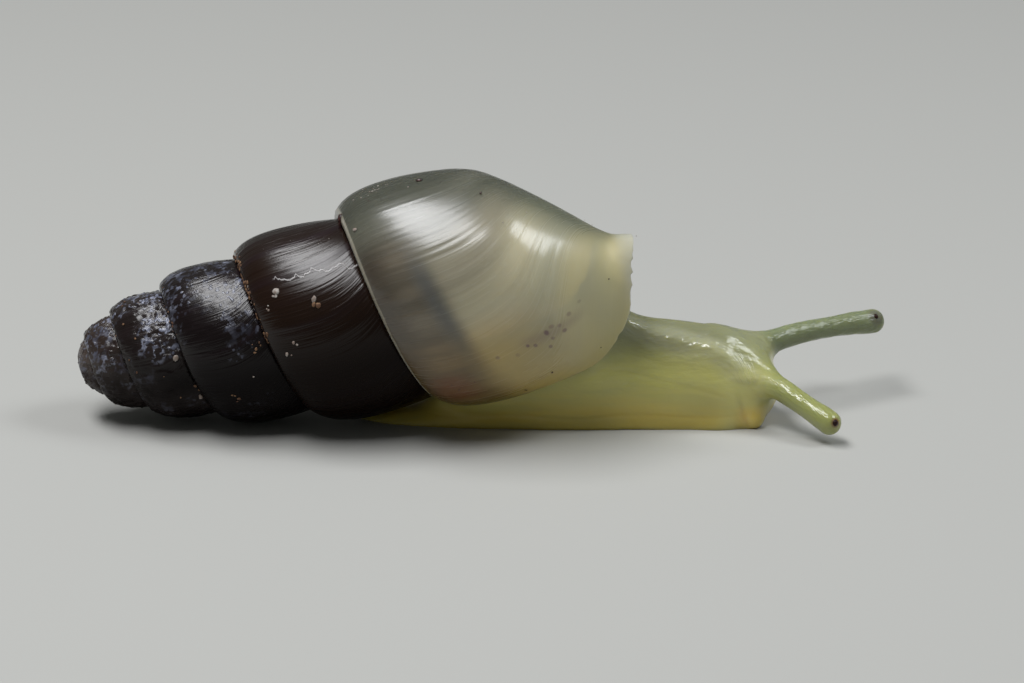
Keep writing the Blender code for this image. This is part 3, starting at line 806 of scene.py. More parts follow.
def head_distance(points):
    """Distance to body, crown, snout and feelers, all rounded into one another."""
    whole = soft_union(body_distance(points), ball_distance(points, *CROWN), HEAD_BLEND)
    whole = soft_union(whole, ball_distance(points, *SNOUT), HEAD_BLEND)
    whole = soft_union(whole, ball_distance(points, *FOOT_FRONT), LOBE_BLEND)
    for name, shape in FEELERS.items():
        width = FEELER_BLEND if name.startswith("upper") else LOBE_BLEND
        whole = soft_union(whole, feeler_distance(points, shape)[0], width)
    return whole


def round_joints(points):
    """Move the points of head and neck onto the rounded-off surface, by Newton steps."""
    front = points[:, 0] > BLEND_FROM
    moved = points[front]
    share = smoothstep(BLEND_FROM, BLEND_FULL, moved[:, 0])[:, None]
    for unused in range(3):
        gap = head_distance(moved)
        slope = unit(slopes(head_distance, moved, gap), 0.3)
        moved = moved - slope * np.clip(gap, -0.2, 0.2)[:, None] * share
    result = points.copy()
    result[front] = moved
    return result


def vertex_normals(points, faces):
    """Area-weighted normals of a mesh of quads."""
    corners = points[faces]
    normal = np.cross(corners[:, 2] - corners[:, 0], corners[:, 3] - corners[:, 1])
    total = np.zeros_like(points)
    for corner in range(4):
        np.add.at(total, faces[:, corner], normal)
    return unit(total, 1e-12)


# Radii that turn angles round trunk and feelers into arcs, where a feeler's own coordinate starts,
# and how near the feeler and how far out along it a point must be to use that.
TRUNK_ARC = 1.6
FEELER_ARC = 0.36
FEELER_START = 20
FEELER_NEAR = 0.06
FEELER_OUT = 0.35


def flow_layers(points):
    """Coordinates that run along the skin and around it.

    On the trunk they are x and the arc across the body; on a feeler the length along it and the arc
    around its middle line. calm is 0 where the two meet, and the fine relief is left out there.
    """
    half, height, middle, unused = station_values(np.clip(points[:, 0], -3.7, 8.2)).T
    angle = np.arctan2(points[:, 2] / np.maximum(height, 0.3), (points[:, 1] - middle) / half)
    along, around = points[:, 0].copy(), angle * TRUNK_ARC
    calm = np.ones(len(points))
    front = points[:, 0] > 7.0
    for shape in (FEELERS["upper_right"], FEELERS["upper_left"]):
        centre, unused, length = feeler_line(shape)
        gap, nearest = feeler_distance(points[front], shape)
        forward = unit(np.gradient(centre, axis=0)[nearest])
        side, over = square_axes(forward)
        offset = points[front] - centre[nearest]
        turn = np.arctan2((offset * over).sum(axis=1), (offset * side).sum(axis=1))
        reach = length[nearest] + (offset * forward).sum(axis=1)
        on = (gap < FEELER_NEAR) & (reach > FEELER_OUT)
        where = np.flatnonzero(front)[on]
        along[where] = FEELER_START + reach[on]
        around[where] = turn[on] * FEELER_ARC
        inside = smoothstep(FEELER_NEAR, 0.02, gap) * smoothstep(FEELER_OUT, 0.5, reach)
        calm[front] *= np.maximum(inside, smoothstep(FEELER_NEAR, 0.12, gap))
    return {"along": along, "around": around, "calm": calm}


def ridge_distance(points):
    """Sideways distance from the ridge, whose y falls as a power of x; far away on the lower flanks."""
    x, y, z = points.T
    line = RIDGE_START - RIDGE_SWING * (np.maximum(x - RIDGE_FROM, 0.0) / RIDGE_LENGTH) ** RIDGE_POWER
    return np.abs(y - line) + 1.2 * smoothstep(1.7, 0.8, z)


# Heights and depths of the relief in the skin, millimetres.
FOLD_HEIGHT = 0.014
GRAIN_HEIGHT = 0.009
GROOVE_DEPTH = 0.012
CREASE_DEPTH = 0.018
CHEEK_DEPTH = 0.045
TAIL_FILL = 0.20


def skin_relief(points, layers):
    """Height added to the skin, a sum of noise and of bell curves.

    It has lengthwise folds and grain, a groove above the foot, a crease along the neck, a fold behind
    the mouth, fullness over the tail and the ridge to the right feeler.
    """
    x, y, z = points.T
    folds = lattice_noise(points * (0.22, 1.0, 1.0), 0.30, 41)
    grain = lattice_noise(points * (0.35, 1.0, 1.0), 0.13, 42)
    top = smoothstep(1.0, 1.8, z) * (1 - 0.3 * smoothstep(6.0, 7.4, x))
    groove = hump(z - 0.42 - 0.05 * np.sin(1.7 * x), 0.05) * smoothstep(8.0, 7.2, x)
    crease = hump(z - (1.94 - 0.25 * (x - 3.74)), 0.07) * smoothstep(3.4, 4.4, x) * smoothstep(7.6, 7.0, x)
    cheek = hump(x - 7.62 - 0.35 * (1.2 - z), 0.10) * smoothstep(1.4, 0.7, z) * (y < 0.1)
    tail = smoothstep(-3.4, -2.4, x) * smoothstep(1.0, -0.4, x) * smoothstep(0.45, 0.9, z)
    ridge = hump(layers["ridge"], RIDGE_WIDTH) * smoothstep(8.7, 8.0, x)
    high = FOLD_HEIGHT * folds * (0.4 + top) + GRAIN_HEIGHT * grain * (0.3 + top)
    high -= GROOVE_DEPTH * groove + CREASE_DEPTH * crease * (y < 0.3)
    high += TAIL_FILL * tail + RIDGE_HEIGHT * ridge - CHEEK_DEPTH * cheek
    return high * smoothstep(0.02, 0.15, z) * layers["calm"]


def skin_piece(settings, paint):
    """One skin over tail, foot, trunk, neck, head, feelers and mantle collar."""
    parts = [body_surface(), ball_surface(*CROWN), ball_surface(*SNOUT), collar_surface()]
    parts += [feeler_surface(shape) for shape in FEELERS.values()]
    points, faces = grow_together("skin_growth", parts, settings.voxel / MM)
    points = round_joints(points)
    layers = flow_layers(points)
    layers["ridge"] = ridge_distance(points)
    points = points + vertex_normals(points, faces) * skin_relief(points, layers)[:, None]
    points[:, 2] = np.maximum(points[:, 2], 0.0)
    return piece_from("skin", points, faces, layers, paint)


# Grains on the shell in clusters: turn, spread in turns, distance below the suture, spread, count, size.
SOIL = (
    (4.28, 0.015, 0.03, 0.03, 9, 0.055), (4.39, 0.045, 0.03, 0.05, 48, 0.07),
    (4.43, 0.008, 0.04, 0.05, 10, 0.075), (4.52, 0.01, 0.04, 0.05, 8, 0.065),
    (3.43, 0.05, 0.03, 0.05, 12, 0.05), (4.483, 0.002, 1.87, 0.03, 2, 0.085),
    (3.625, 0.008, 1.06, 0.08, 4, 0.06), (2.611, 0.01, 1.86, 0.06, 3, 0.06),
    (3.53, 0.012, 2.28, 0.1, 6, 0.05), (2.45, 0.1, 0.6, 0.5, 12, 0.045),
)
CHALK = (
    (4.447, 0.001, 0.86, 0.01, 1, 0.12), (4.452, 0.003, 0.8, 0.05, 3, 0.06),
    (4.474, 0.001, 1.86, 0.01, 1, 0.09), (4.549, 0.001, 0.47, 0.01, 1, 0.09),
    (4.535, 0.006, 0.76, 0.12, 3, 0.05), (4.47, 0.012, 0.38, 0.08, 3, 0.05),
    (3.586, 0.001, 1.85, 0.01, 1, 0.05), (2.526, 0.002, 1.6, 0.02, 2, 0.09),
    (2.638, 0.002, 1.83, 0.02, 2, 0.07), (5.383, 0.001, 0.31, 0.01, 1, 0.1),
    (4.41, 0.02, 0.04, 0.05, 6, 0.05), (5.315, 0.012, 1.4, 0.45, 18, 0.036),
    (5.39, 0.03, 6.2, 0.9, 12, 0.018), (4.36, 0.02, 2.2, 0.8, 8, 0.02),
)
SPECKS = (
    (5.326, 0.002, 0.03, 0.03, 3, 0.11), (5.322, 0.001, 2.64, 0.01, 2, 0.1),
    (5.38, 0.001, 4.23, 0.01, 1, 0.04), (5.693, 0.001, 3.81, 0.01, 1, 0.05),
    (5.708, 0.015, 2.75, 0.06, 2, 0.03), (5.605, 0.001, 6.44, 0.01, 1, 0.03),
    (5.711, 0.001, 5.28, 0.01, 1, 0.03), (5.34, 0.01, 2.00, 0.8, 6, 0.022),
    (5.66, 0.004, 1.1, 0.3, 5, 0.03), (4.4, 0.02, 0.04, 0.04, 6, 0.045),
)


def scatter(clusters, seed):
    """Turn, distance and size of every grain: normal spreads about the clusters, even spread of sizes."""
    random = np.random.default_rng(seed)
    rows = []
    for turn, turn_spread, down, down_spread, count, size in clusters:
        shift = random.normal(0.0, 1.0, (count, 2)) * (count > 1)
        rows.append(np.stack([turn + turn_spread * shift[:, 0], np.abs(down + down_spread * shift[:, 1]),
                              0.8 * size * random.uniform(0.4 if count > 2 else 0.9, 1.25, count)], axis=1))
    return np.concatenate(rows).T


def crumb_piece(name, crumbs, paint, seed):
    """Grains on the shell: balls with uneven radii, half sunk where their turn and distance say."""
    turn, down, size = scatter(crumbs, seed)
    here, out = surface_spot(turn, down)
    ball, faces = ball_surface((0.0, 0.0, 0.0), (1.0, 1.0, 1.0), 12, 8)
    spin = np.random.default_rng(seed).uniform(0.7, 1.25, (len(size), 1, 3))
    grains = ball[None] * spin * size[:, None, None]
    here, out = here[:, None], out[:, None]
    lumps = lattice_noise((grains + here).reshape(-1, 3), 0.06, seed).reshape(len(size), -1, 1)
    grains *= 1 + 0.25 * lumps
    depth = (grains * out).sum(axis=2, keepdims=True)
    grains = grains - 0.45 * depth * out + here + out * (0.15 * size)[:, None, None]
    return piece_from(name, *joined((grain, faces) for grain in grains), {}, paint)


def eye_piece(name, node, paint):
    """Round eye at the place of its node: a ball with a fine grid of latitude and longitude."""
    low, high = (np.array(corner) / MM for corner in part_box(node))
    points, faces = ball_surface((low + high) / 2, (high - low) / 2, 32, 20)
    return piece_from(name, points, faces, {}, paint)


# ------------------------------------------------------------------ materials


class Wire:
    """Output of a shader node, with arithmetic and smooth steps written as for numbers."""

    def __init__(self, paint, socket):
        self.paint, self.socket = paint, socket

    def __add__(self, other):
        return self.paint.math("ADD", self, other)

    def __sub__(self, other):
        return self.paint.math("SUBTRACT", self, other)

    def __mul__(self, other):
        return self.paint.math("MULTIPLY", self, other)

    def __abs__(self):
        return self.paint.math("ABSOLUTE", self)

    def step(self, low, high, start=0.0, end=1.0):
        """Smooth step from start, up to low, to end, from high on."""
        return self.paint.node("MapRange", (self, low, high, start, end), interpolation_type="SMOOTHSTEP")


class Paint:
    """Node tree of one material, with short calls for the nodes that the finishes use."""

    def __init__(self, name):
        self.material = bpy.data.materials.new(name)
        self.material.use_nodes = True
        self.tree = self.material.node_tree
        self.shader = self.tree.nodes["Principled BSDF"]
        self.base = None

    def plug(self, value, socket):
        if isinstance(value, Wire):
            self.tree.links.new(value.socket, socket)
        elif socket.type == "RGBA":
            socket.default_value = (*value, 1.0)
        else:
            socket.default_value = value

    def node(self, kind, inputs, output=0, **settings):
        """One output of a new node, whose inputs are given in order or by name or number."""
        node = self.tree.nodes.new("ShaderNode" + kind)
        for key, value in settings.items():
            setattr(node, key, value)
        for key, value in (inputs.items() if isinstance(inputs, dict) else enumerate(inputs)):
            self.plug(value, node.inputs[key])
        return Wire(self, node.outputs[output])

    def layer(self, name):
        return self.node("Attribute", (), "Fac", attribute_name=name)

    def place(self):
        return self.node("TexCoord", (), "Object")

    def axes(self, vector):
        return [self.node("SeparateXYZ", (vector,), axis) for axis in "XYZ"]

    def math(self, operation, *values):
        return self.node("Math", values, operation=operation)

    def mix(self, share, first, second, blend="MIX"):
        return self.node("Mix", {0: share, 6: first, 7: second}, 2, data_type="RGBA", blend_type=blend)

    def coat(self, share, colour, blend="MIX"):
        """Lay a colour over the base colour, as thickly as the share says."""
        self.base = self.mix(share, self.base, colour, blend)

    def ramp(self, value, stops):
        """Colour ramp with (place, colour) stops, read as a smooth curve."""
        made = self.node("ValToRGB", (value,))
        ramp = made.socket.node.color_ramp
        ramp.interpolation = "EASE"
        while len(ramp.elements) < len(stops):
            ramp.elements.new(0.5)
        for element, (position, colour) in zip(ramp.elements, stops):
            element.position = position
            element.color = (*colour, 1.0)
        return made

    def join(self, x, y, z=0.0):
        return self.node("CombineXYZ", (x, y, z))

    def scaled(self, vector, scale):
        return self.node("Mapping", {"Vector": vector, "Scale": scale})

    def noise(self, vector, scale, detail=3.0, roughness=0.5, output=0):
        inputs = {"Vector": vector, "Scale": scale, "Detail": detail, "Roughness": roughness}
        return self.node("TexNoise", inputs, output)

    def cells(self, vector, scale):
        """Distance to the nearest of the points scattered one to a cell."""
        return self.node("TexVoronoi", {"Vector": vector, "Scale": scale}, "Distance")

    def apart(self, vector, point):
        return self.node("VectorMath", (vector, point), "Value", operation="DISTANCE")

    def warp(self, vector, scale, amount):
        """Vector shifted by up to the amount, so that what reads it loses its regular outlines."""
        shift = self.noise(vector, scale, 2.0, output="Color")
        return self.node("VectorMath", (shift, (amount,) * 3, vector), "Vector", operation="MULTIPLY_ADD")

    def bump(self, height, distance, strength, normal=None):
        inputs = {"Height": height, "Distance": distance, "Strength": strength}
        return self.node("Bump", inputs if normal is None else {**inputs, "Normal": normal})

    def finish(self, **values):
        """Material with its base colour and the other values plugged into the shader."""
        for key, value in {"Base_Color": self.base, **values}.items():
            self.plug(value, self.shader.inputs[key.replace("_", " ")])
        return self.material


# Brown spots seen through the last whorl: turn, distance below the suture, radius and strength.
SPOTS = (
    (5.604, 5.15, 0.1, 0.5), (5.623, 4.85, 0.09, 0.7), (5.612, 4.43, 0.13, 0.9),
    (5.625, 4.52, 0.08, 0.6), (5.611, 4.8, 0.08, 0.5), (5.625, 3.91, 0.09, 0.7),
    (5.621, 3.7, 0.08, 0.8), (5.637, 4.31, 0.1, 0.6), (5.623, 2.74, 0.09, 0.5),
    (5.598, 5.54, 0.08, 0.3), (5.63, 3.3, 0.1, 0.3), (5.606, 4.62, 0.09, 0.5),
)
# Millimetres round the last whorl for one turn, so that its spots and stains come out round.
ARC_LENGTH = 20.0


def growth_streaks(paint):
    """Fine and coarse streaks that follow the growth lines, and both mixed into one height."""
    streaks = paint.join(paint.layer("growth") * 230.0, paint.layer("down") * 0.5)
    fine = paint.noise(streaks, 1.0, 2.0)
    coarse = paint.noise(streaks, 0.14)
    return fine, coarse, coarse * 0.65 + fine


def spire_paint(settings):
    """Near-black brown, glossy and finely streaked, with pale worn pits on the oldest whorls."""
    paint = Paint("spire")
    turn, down = paint.layer("turn"), paint.layer("down")
    place = paint.warp(paint.place(), 2600.0, 0.00016)
    fine, coarse, height = growth_streaks(paint)
    rise = paint.math("SINE", turn * (2 * math.pi))
    dark = tuple(settings.dark)
    paint.base = paint.ramp(turn.step(0.0, SPLIT_TURN), (
        (0.0, (0.060, 0.040, 0.030)), (0.35, (0.013, 0.008, 0.007)), (0.75, dark), (0.95, dark),
        (1.0, (0.014, 0.005, 0.0015))))
    paint.coat(coarse.step(0.45, 0.75, 0.0, 0.6), (0.016, 0.008, 0.011))
    # Painted shade: the underside of each whorl, turned away from the lights, is darkened.
    paint.coat(rise.step(0.4, -0.6, 0.0, 0.7), (0.0012, 0.0006, 0.0004))

    # Bluish chalk where the old whorls are worn: broken patches, pits and dots under a slow cloud.
    cloud = paint.noise(place, 620.0)
    broad = paint.noise(place, 3600.0, 2.0, 0.6).step(0.49, 0.64)
    broad = broad * paint.cells(place, 4200.0).step(0.24, 0.40) * turn.step(3.7, 2.6, 0.3, 1.0)
    pitted = paint.noise(place, 5200.0, 2.0).step(0.58, 0.70)
    small = paint.cells(place, 4300.0).step(0.26, 0.12)
    dots = paint.math("MAXIMUM", paint.math("MAXIMUM", broad, pitted), small)
    # The rise terms put more chalk on the upper side of each whorl and less underneath: partly real wear,
    # partly painted reflection of the sky.
    cover = rise * 0.10 + (turn * -0.035 + cloud)
    age = turn.step(4.15, 2.9) * rise.step(-0.7, 0.3, 0.25, 1.0)
    chalk = dots * cover.step(0.36, 0.47) * age
    blue = paint.mix(paint.noise(place, 2200.0).step(0.4, 0.65), (0.08, 0.09, 0.135), (0.36, 0.39, 0.51))
    paint.coat(chalk * 0.85, blue)
    paint.coat(cloud.step(0.35, 0.75) * turn.step(3.9, 1.5) * 0.35, (0.10, 0.08, 0.075))

    # One pale crack that wanders down the youngest dark whorl.
    wander = paint.noise(paint.join(down * 2.6, 3.0), 1.0)
    crack = abs(turn - (wander * 0.055 + 4.402)).step(0.0019, 0.0006) * down.step(0.85, 1.0)
    paint.coat(crack * 0.8, (0.46, 0.44, 0.44))

    normal = paint.bump(height, 0.000022, 0.9)
    normal = paint.bump(chalk + crack, 0.000012, 0.6, normal)
    return paint.finish(
        Roughness=chalk * 0.35 + (fine * 0.20 + 0.17), Normal=normal, IOR=1.12,
        Coat_Weight=rise.step(-0.65, 0.15, 0.12, 1.0), Coat_IOR=1.38, Coat_Roughness=0.22,
        Coat_Normal=normal)


def whorl_paint(settings):
    """Pearly last whorl: olive above, cream below, a dark band, pale suture and brown spots inside."""
    paint = Paint("last_whorl")
    turn, growth, down = paint.layer("turn"), paint.layer("tone"), paint.layer("down")
    fine, coarse, height = growth_streaks(paint)
    # Colour along the growth: brown, then grey-olive, then pearl. The dark grey-olive stops over the top of
    # the whorl are partly painted shade.
    paint.base = paint.ramp(paint.math("DIVIDE", growth - SPLIT_TURN, 1.1), (
        (0.0, (0.026, 0.011, 0.003)), (0.16, (0.045, 0.022, 0.008)), (0.35, (0.050, 0.042, 0.027)),
        (0.53, (0.063, 0.066, 0.049)), (0.61, (0.13, 0.13, 0.10)), (0.68, (0.30, 0.275, 0.20)),
        (0.76, tuple(settings.pearl)), (0.84, (0.45, 0.43, 0.30)), (0.92, (0.53, 0.48, 0.28)),
        (1.0, (0.56, 0.49, 0.26))))
    across = paint.join(turn * ARC_LENGTH, down)

    # Brown above the slanting dark band, and the band itself.
    offset = down - ((growth - 5.49) * 2.7 + 1.70)
    mauve = paint.mix(down.step(0.3, 1.2), (0.055, 0.040, 0.028), (0.155, 0.130, 0.094))
    mauve = paint.mix(coarse.step(0.4, 0.6, 0.0, 0.6), mauve, (0.050, 0.042, 0.030))
    paint.coat(offset.step(0.80, -0.50) * growth.step(5.38, 5.46) * 0.9, mauve)
    band = abs(offset).step(0.52, 0.0) * growth.step(5.43, 5.50) * growth.step(5.69, 5.55)
    paint.coat(band * 0.8, (0.095, 0.098, 0.094))

    # Warmer towards the lip, painted shade that darkens the crown to olive, rusty low down, pale along the
    # suture.
    paint.coat(turn.step(5.54, 5.62) * down.step(6.2, 2.6), (1.12, 0.86, 0.46), "MULTIPLY")
    # Painted shade: the top of the whorl, lit most by the overhead light, is darkened to a dull olive.
    crown = (down * -0.035 + turn).step(5.315, 5.16) * down.step(7.4, 6.2, 0.7, 0.92)
    olive = paint.mix(growth.step(5.45, 5.60), (0.070, 0.075, 0.054), (0.095, 0.108, 0.074))
    paint.coat(crown * growth.step(5.38, 5.45), olive)
    rust = paint.apart(across, (113.35, 1.05, 0.0)).step(1.05, 0.15) * coarse
    paint.coat(rust * 1.5, (0.17, 0.060, 0.022))
    paint.coat(down.step(0.15, 0.11) * growth.step(5.20, 5.36) * 0.8, (0.42, 0.39, 0.31))

    # Brown spots in a faint haze, and the white edge low on the lip.
    spots = 0.0
    for spot_turn, spot_down, size, strength in SPOTS:
        gap = paint.apart(across, (spot_turn * ARC_LENGTH, spot_down, 0.0))
        spots = paint.math("MAXIMUM", spots, gap.step(size, size * 0.35, 0.0, strength))
    paint.coat(spots, (0.16, 0.085, 0.085))
    haze = abs(turn - 5.616).step(0.016, 0.0, 0.0, 0.35) * abs(down - 4.5).step(1.2, 0.6)
    paint.coat(haze, (0.24, 0.16, 0.14))
    paint.coat(paint.layer("lip").step(0.40, 0.0) * down.step(6.2, 7.0) * 0.8, (0.44, 0.43, 0.35))
    shade = coarse * growth.step(5.62, 5.46, 0.05, 0.14) + 0.94
    paint.coat(1.0, paint.join(shade, shade, shade), "MULTIPLY")

    near_lip = growth.step(5.70, 5.84)
    paint.shader.subsurface_method = "RANDOM_WALK"
    return paint.finish(
        Roughness=fine * 0.14 + (near_lip * 0.22 + 0.19),
        Normal=paint.bump(height * growth.step(5.72, 5.50, 0.3, 1.0), 0.000010, 0.7),
        Subsurface_Weight=growth.step(5.0, 5.5, 0.0, 0.55), Subsurface_Radius=(1.0, 0.85, 0.6),
        Subsurface_Scale=0.0007, IOR=1.5, Coat_Weight=near_lip.step(1.0, 0.0, 0.0, 0.25),
        Coat_Roughness=0.15)


def skin_paint(settings):
    """Moist, translucent jelly: pale green above, amber yellow at the edge of the foot."""
    paint = Paint("skin")
    place = paint.place()
    x, y, z = paint.axes(place)
    along, around = paint.layer("along"), paint.layer("around")
    streaks = paint.noise(paint.scaled(place, (260.0, 2200.0, 2200.0)), 1.0)
    height = streaks * 0.0006 + z
    paint.base = paint.mix(height.step(0.0019, 0.0004), tuple(settings.jelly), tuple(settings.sole))
    paint.coat(streaks.step(0.45, 0.65, 0.0, 0.22), (0.34, 0.35, 0.15))

    # Painted shade on the back and on the near and far feelers; pale cheek, dull scalp, amber lobe by the
    # mouth.
    # far marks the far feeler, which is darkened as painted shade and made less glossy.
    far = x.step(0.0080, 0.0089) * y.step(0.0004, 0.0010)
    for share, colour in (
            # Painted shade: the top of the body darkened against the overhead light.
            (z.step(0.0016, 0.0030, 0.0, 0.9), (0.19, 0.20, 0.125)),
            (x.step(0.0068, 0.0076, 0.0, 0.4) * z.step(0.0021, 0.0016), (0.70, 0.69, 0.30)),
            (x.step(0.0066, 0.0078, 0.0, 0.6) * z.step(0.0016, 0.0022), (0.30, 0.32, 0.19)),
            (x.step(0.0074, 0.0079) * z.step(0.0009, 0.0004) * 0.6, (0.72, 0.50, 0.11)),
            (far, (0.19, 0.22, 0.125)),
            # Painted shade on the near feelers.
            (x.step(0.0081, 0.0090) * y.step(0.0002, -0.0004), (0.29, 0.31, 0.115))):
        paint.coat(share, colour)
    for eye, spread, tint in (("eye_right", 0.00019, (0.16, 0.02, 0.008)),
                              ("eye_left", 0.00036, (0.13, 0.13, 0.10))):
        low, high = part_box(eye)
        gap = paint.apart(place, tuple((a + b) / 2 for a, b in zip(low, high)))
        paint.coat(gap.step(spread, spread * 0.45, 0.0, 0.8), tint)
    on_ridge = paint.layer("ridge").step(0.34, 0.12)
    # Painted highlight: a pale veil along the ridge, where its wet beads catch the light.
    paint.coat(on_ridge * 0.25, (0.62, 0.62, 0.46))

    # Wet beads on ridge and feelers over fine wrinkles, glossier towards the head.
    dome = paint.cells(paint.join(along * 3.4, around * 10.0), 1.0).step(0.62, 0.05)
    beads = paint.math("MAXIMUM", along.step(15.0, 19.0, 0.0, 0.4), on_ridge * 0.5 + 0.06)
    raised = dome * paint.layer("calm") * beads
    wrinkle = paint.noise(paint.scaled(place, (2600.0, 8000.0, 8000.0)), 1.0, 2.0)
    normal = paint.bump(raised + wrinkle * z.step(0.0008, 0.0016, 0.0, 0.9), 0.000032, 0.8)
    dull = x.step(0.0068, 0.0074) * x.step(0.0089, 0.0084, 0.0, 0.6)
    gloss = x.step(-0.001, 0.008, 0.15, 0.80) * dull.step(1.0, 0.0, 0.85, 1.0)
    gloss = gloss * far.step(0.0, 1.0, 1.0, 0.45)
    paint.shader.subsurface_method = "RANDOM_WALK"
    return paint.finish(
        Roughness=0.34, Normal=normal, Subsurface_Weight=0.9, Subsurface_Radius=(1.0, 0.9, 0.4),
        Subsurface_Scale=0.0008, IOR=1.34, Coat_Weight=gloss, Coat_Roughness=0.08, Coat_Normal=normal)


def crumb_paint(name, first, second, roughness):
    """Matt grains of two blended colours."""
    paint = Paint(name)
    paint.base = paint.mix(paint.noise(paint.place(), 7000.0).step(0.4, 0.6), first, second)
    grain = paint.bump(paint.noise(paint.place(), 20000.0), 0.000010, 0.6)
    return paint.finish(Roughness=roughness, Normal=grain)


def eye_paint():
    """Glossy black eye with a faint brown bloom."""
    paint = Paint("eye")
    paint.base = paint.mix(paint.noise(paint.place(), 9000.0), (0.004, 0.002, 0.002), (0.03, 0.006, 0.004))
    return paint.finish(Roughness=0.35, IOR=1.3)


def floor_paint(settings):
    """Plain pale board with the faintest unevenness."""
    paint = Paint("floor")
    colour = tuple(settings.floor)
    paint.base = paint.mix(paint.noise(paint.place(), 40.0) * 0.06, colour, tuple(c * 0.8 for c in colour))
    return paint.finish(Roughness=0.7)


# ------------------------------------------------------------------ operators


class SNAIL_OT_shell(bpy.types.Operator):
    """Build the shell and hide the plain solids that it stands for"""

    bl_idname = "snail.shell"
    bl_label = "Build shell"

    def execute(self, context):
        settings = context.scene.snail_shell
        spire = spire_piece(settings, spire_paint(settings))
        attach(spire, "root")
        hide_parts("shell_apex", "shell_spire_upper", "shell_spire_lower")
        whorl = last_whorl_piece(settings, whorl_paint(settings))
        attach(whorl, "root")
        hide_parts("shell_last_whorl", "shell_lip")
        return {"FINISHED"}


class SNAIL_OT_crumbs(bpy.types.Operator):
    """Scatter the grains of soil and chalk and the dark specks that stick to the shell"""

    bl_idname = "snail.crumbs"
    bl_label = "Build crumbs"

    def execute(self, context):
        kinds = (
            ("soil_crumbs", SOIL, ((0.20, 0.11, 0.055), (0.09, 0.04, 0.02), 0.8), 51),
            ("chalk_crumbs", CHALK, ((0.38, 0.35, 0.32), (0.24, 0.18, 0.15), 0.6), 52),
            ("dark_specks", SPECKS, ((0.018, 0.010, 0.009), (0.07, 0.015, 0.010), 0.35), 53),
        )
        for name, crumbs, (first, second, roughness), seed in kinds:
            piece = crumb_piece(name, crumbs, crumb_paint(name, first, second, roughness), seed)
            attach(piece, "root")
        return {"FINISHED"}


class SNAIL_OT_skin(bpy.types.Operator):
    """Build one skin over all the flesh"""

    bl_idname = "snail.skin"
    bl_label = "Build skin"

    def execute(self, context):
        settings = context.scene.snail_skin
        skin = skin_piece(settings, skin_paint(settings))
        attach(skin, "root")
        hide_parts("tail", "foot", "trunk", "neck", "head", "mantle_collar", "feeler_upper_right",
                    "feeler_upper_left", "feeler_lower_right", "feeler_lower_left")
        return {"FINISHED"}


class SNAIL_OT_eyes(bpy.types.Operator):
    """Build the two eyes"""

    bl_idname = "snail.eyes"
    bl_label = "Build eyes"

    def execute(self, context):
        paint = eye_paint()
        for side in ("right", "left"):
            node = "eye_" + side
            eye = eye_piece("eyeball_" + side, node, paint)
            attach(eye, "root")
            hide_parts(node)
        return {"FINISHED"}


def aim(item, azimuth, elevation, distance):
    """Stand a lamp or camera so that it faces the target from an azimuth and an elevation.

    Azimuth 0 faces the snail's right side, and 90 faces its feelers.
    """
    turn, rise = math.radians(azimuth), math.radians(elevation)
    away = np.array((math.sin(turn) * math.cos(rise), -math.cos(turn) * math.cos(rise), math.sin(rise)))
    item.location = (CAMERA_TARGET + away * distance) * MM
    item.rotation_euler = (math.pi / 2 - rise, 0.0, turn)
    bpy.context.scene.collection.objects.link(item)


def softbox(name, azimuth, elevation, width, height, power, colour):
    """Rectangular area light that faces the target."""
    light = bpy.data.lights.new(name, "AREA")
    light.shape = "RECTANGLE"
    light.size, light.size_y = width * MM, height * MM
    light.energy = power
    light.color = colour
    lamp = bpy.data.objects.new(name, light)
    lamp.visible_camera = False
    aim(lamp, azimuth, elevation, LAMP_DISTANCE)


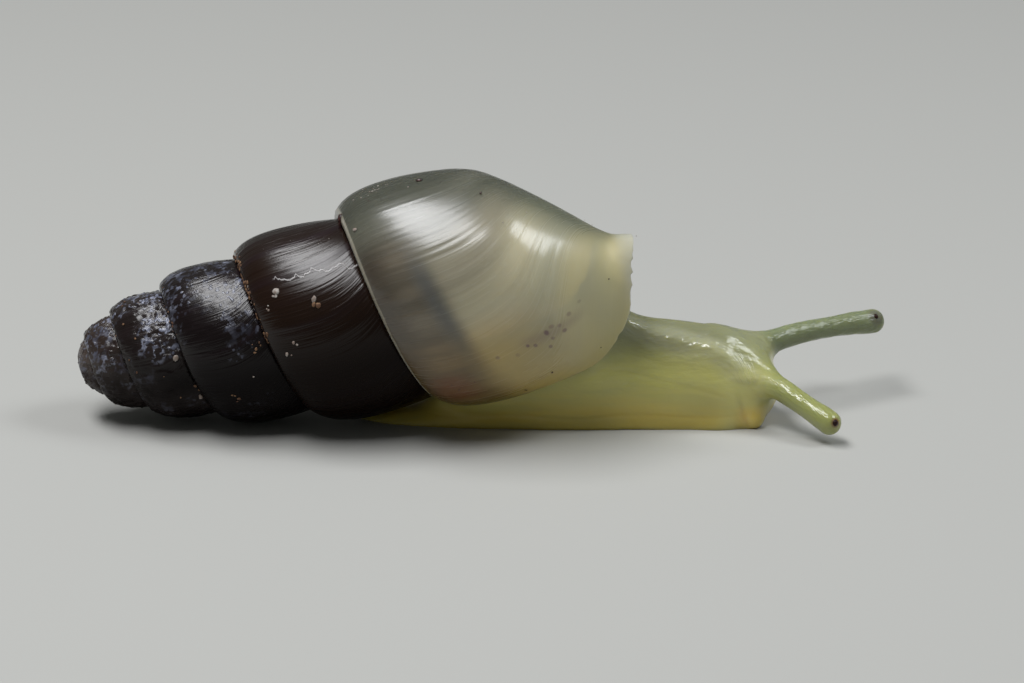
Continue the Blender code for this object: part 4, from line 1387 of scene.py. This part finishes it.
class SNAIL_OT_stage(bpy.types.Operator):
    """Build the floor, the lights, the pale surroundings and the camera"""

    bl_idname = "snail.stage"
    bl_label = "Build stage"

    def execute(self, context):
        scene = context.scene
        settings = scene.snail_stage
        line = np.linspace(-FLOOR_REACH, FLOOR_REACH, 3)
        x, y = np.meshgrid(line, line, indexing="ij")
        points = np.stack([x, y, np.zeros_like(x)], axis=2).reshape(-1, 3)
        floor = piece_from("floor", points, grid_faces(3, 3), {}, floor_paint(settings))
        scene.world = bpy.data.worlds.new("surroundings")
        scene.world.use_nodes = True
        sky = scene.world.node_tree.nodes["Background"].inputs
        sky["Color"].default_value = SKY_COLOUR
        sky["Strength"].default_value = SKY_STRENGTH
        softbox("key", -78.0, 71.0, 150.0, 44.0, settings.key, (0.98, 0.985, 1.0))
        softbox("second", 90.0, 51.0, 58.0, 54.0, settings.second, (0.94, 0.97, 1.0))
        camera = bpy.data.cameras.new("camera")
        camera.sensor_width = SENSOR_WIDTH
        camera.lens = SENSOR_WIDTH * CAMERA_DISTANCE / FIELD_WIDTH
        camera.clip_start, camera.clip_end = 0.01, 3.0
        scene.camera = bpy.data.objects.new("camera", camera)
        aim(scene.camera, 0.0, CAMERA_ELEVATION, CAMERA_DISTANCE)
        scene.view_settings.view_transform = "Standard"
        return {"FINISHED"}


class SNAIL_PT_panel(bpy.types.Panel):
    """Sidebar panel with the settings and one button for each group of pieces"""

    bl_idname = "SNAIL_PT_panel"
    bl_label = "Striped snail"
    bl_space_type = "VIEW_3D"
    bl_region_type = "UI"
    bl_category = "Snail"

    def draw(self, context):
        for group in SETTINGS:
            settings = getattr(context.scene, group)
            box = self.layout.box()
            for key in settings.__annotations__:
                box.prop(settings, key)
        for operator in OPERATORS:
            self.layout.operator(operator.bl_idname)


OPERATORS = (SNAIL_OT_shell, SNAIL_OT_crumbs, SNAIL_OT_skin, SNAIL_OT_eyes, SNAIL_OT_stage)
SETTINGS = {
    "snail_shell": SnailShellSettings,
    "snail_skin": SnailSkinSettings,
    "snail_stage": SnailStageSettings,
}


def register():
    for group, settings in SETTINGS.items():
        bpy.utils.register_class(settings)
        setattr(bpy.types.Scene, group, bpy.props.PointerProperty(type=settings))
    for cls in (*OPERATORS, SNAIL_PT_panel):
        bpy.utils.register_class(cls)


def unregister():
    for cls in reversed((*OPERATORS, SNAIL_PT_panel)):
        bpy.utils.unregister_class(cls)
    for group, settings in SETTINGS.items():
        delattr(bpy.types.Scene, group)
        bpy.utils.unregister_class(settings)


def main():
    register()
    bpy.ops.snail.shell()
    bpy.ops.snail.crumbs()
    bpy.ops.snail.skin()
    bpy.ops.snail.eyes()
    bpy.ops.snail.stage()


if __name__ == "__main__":
    main()
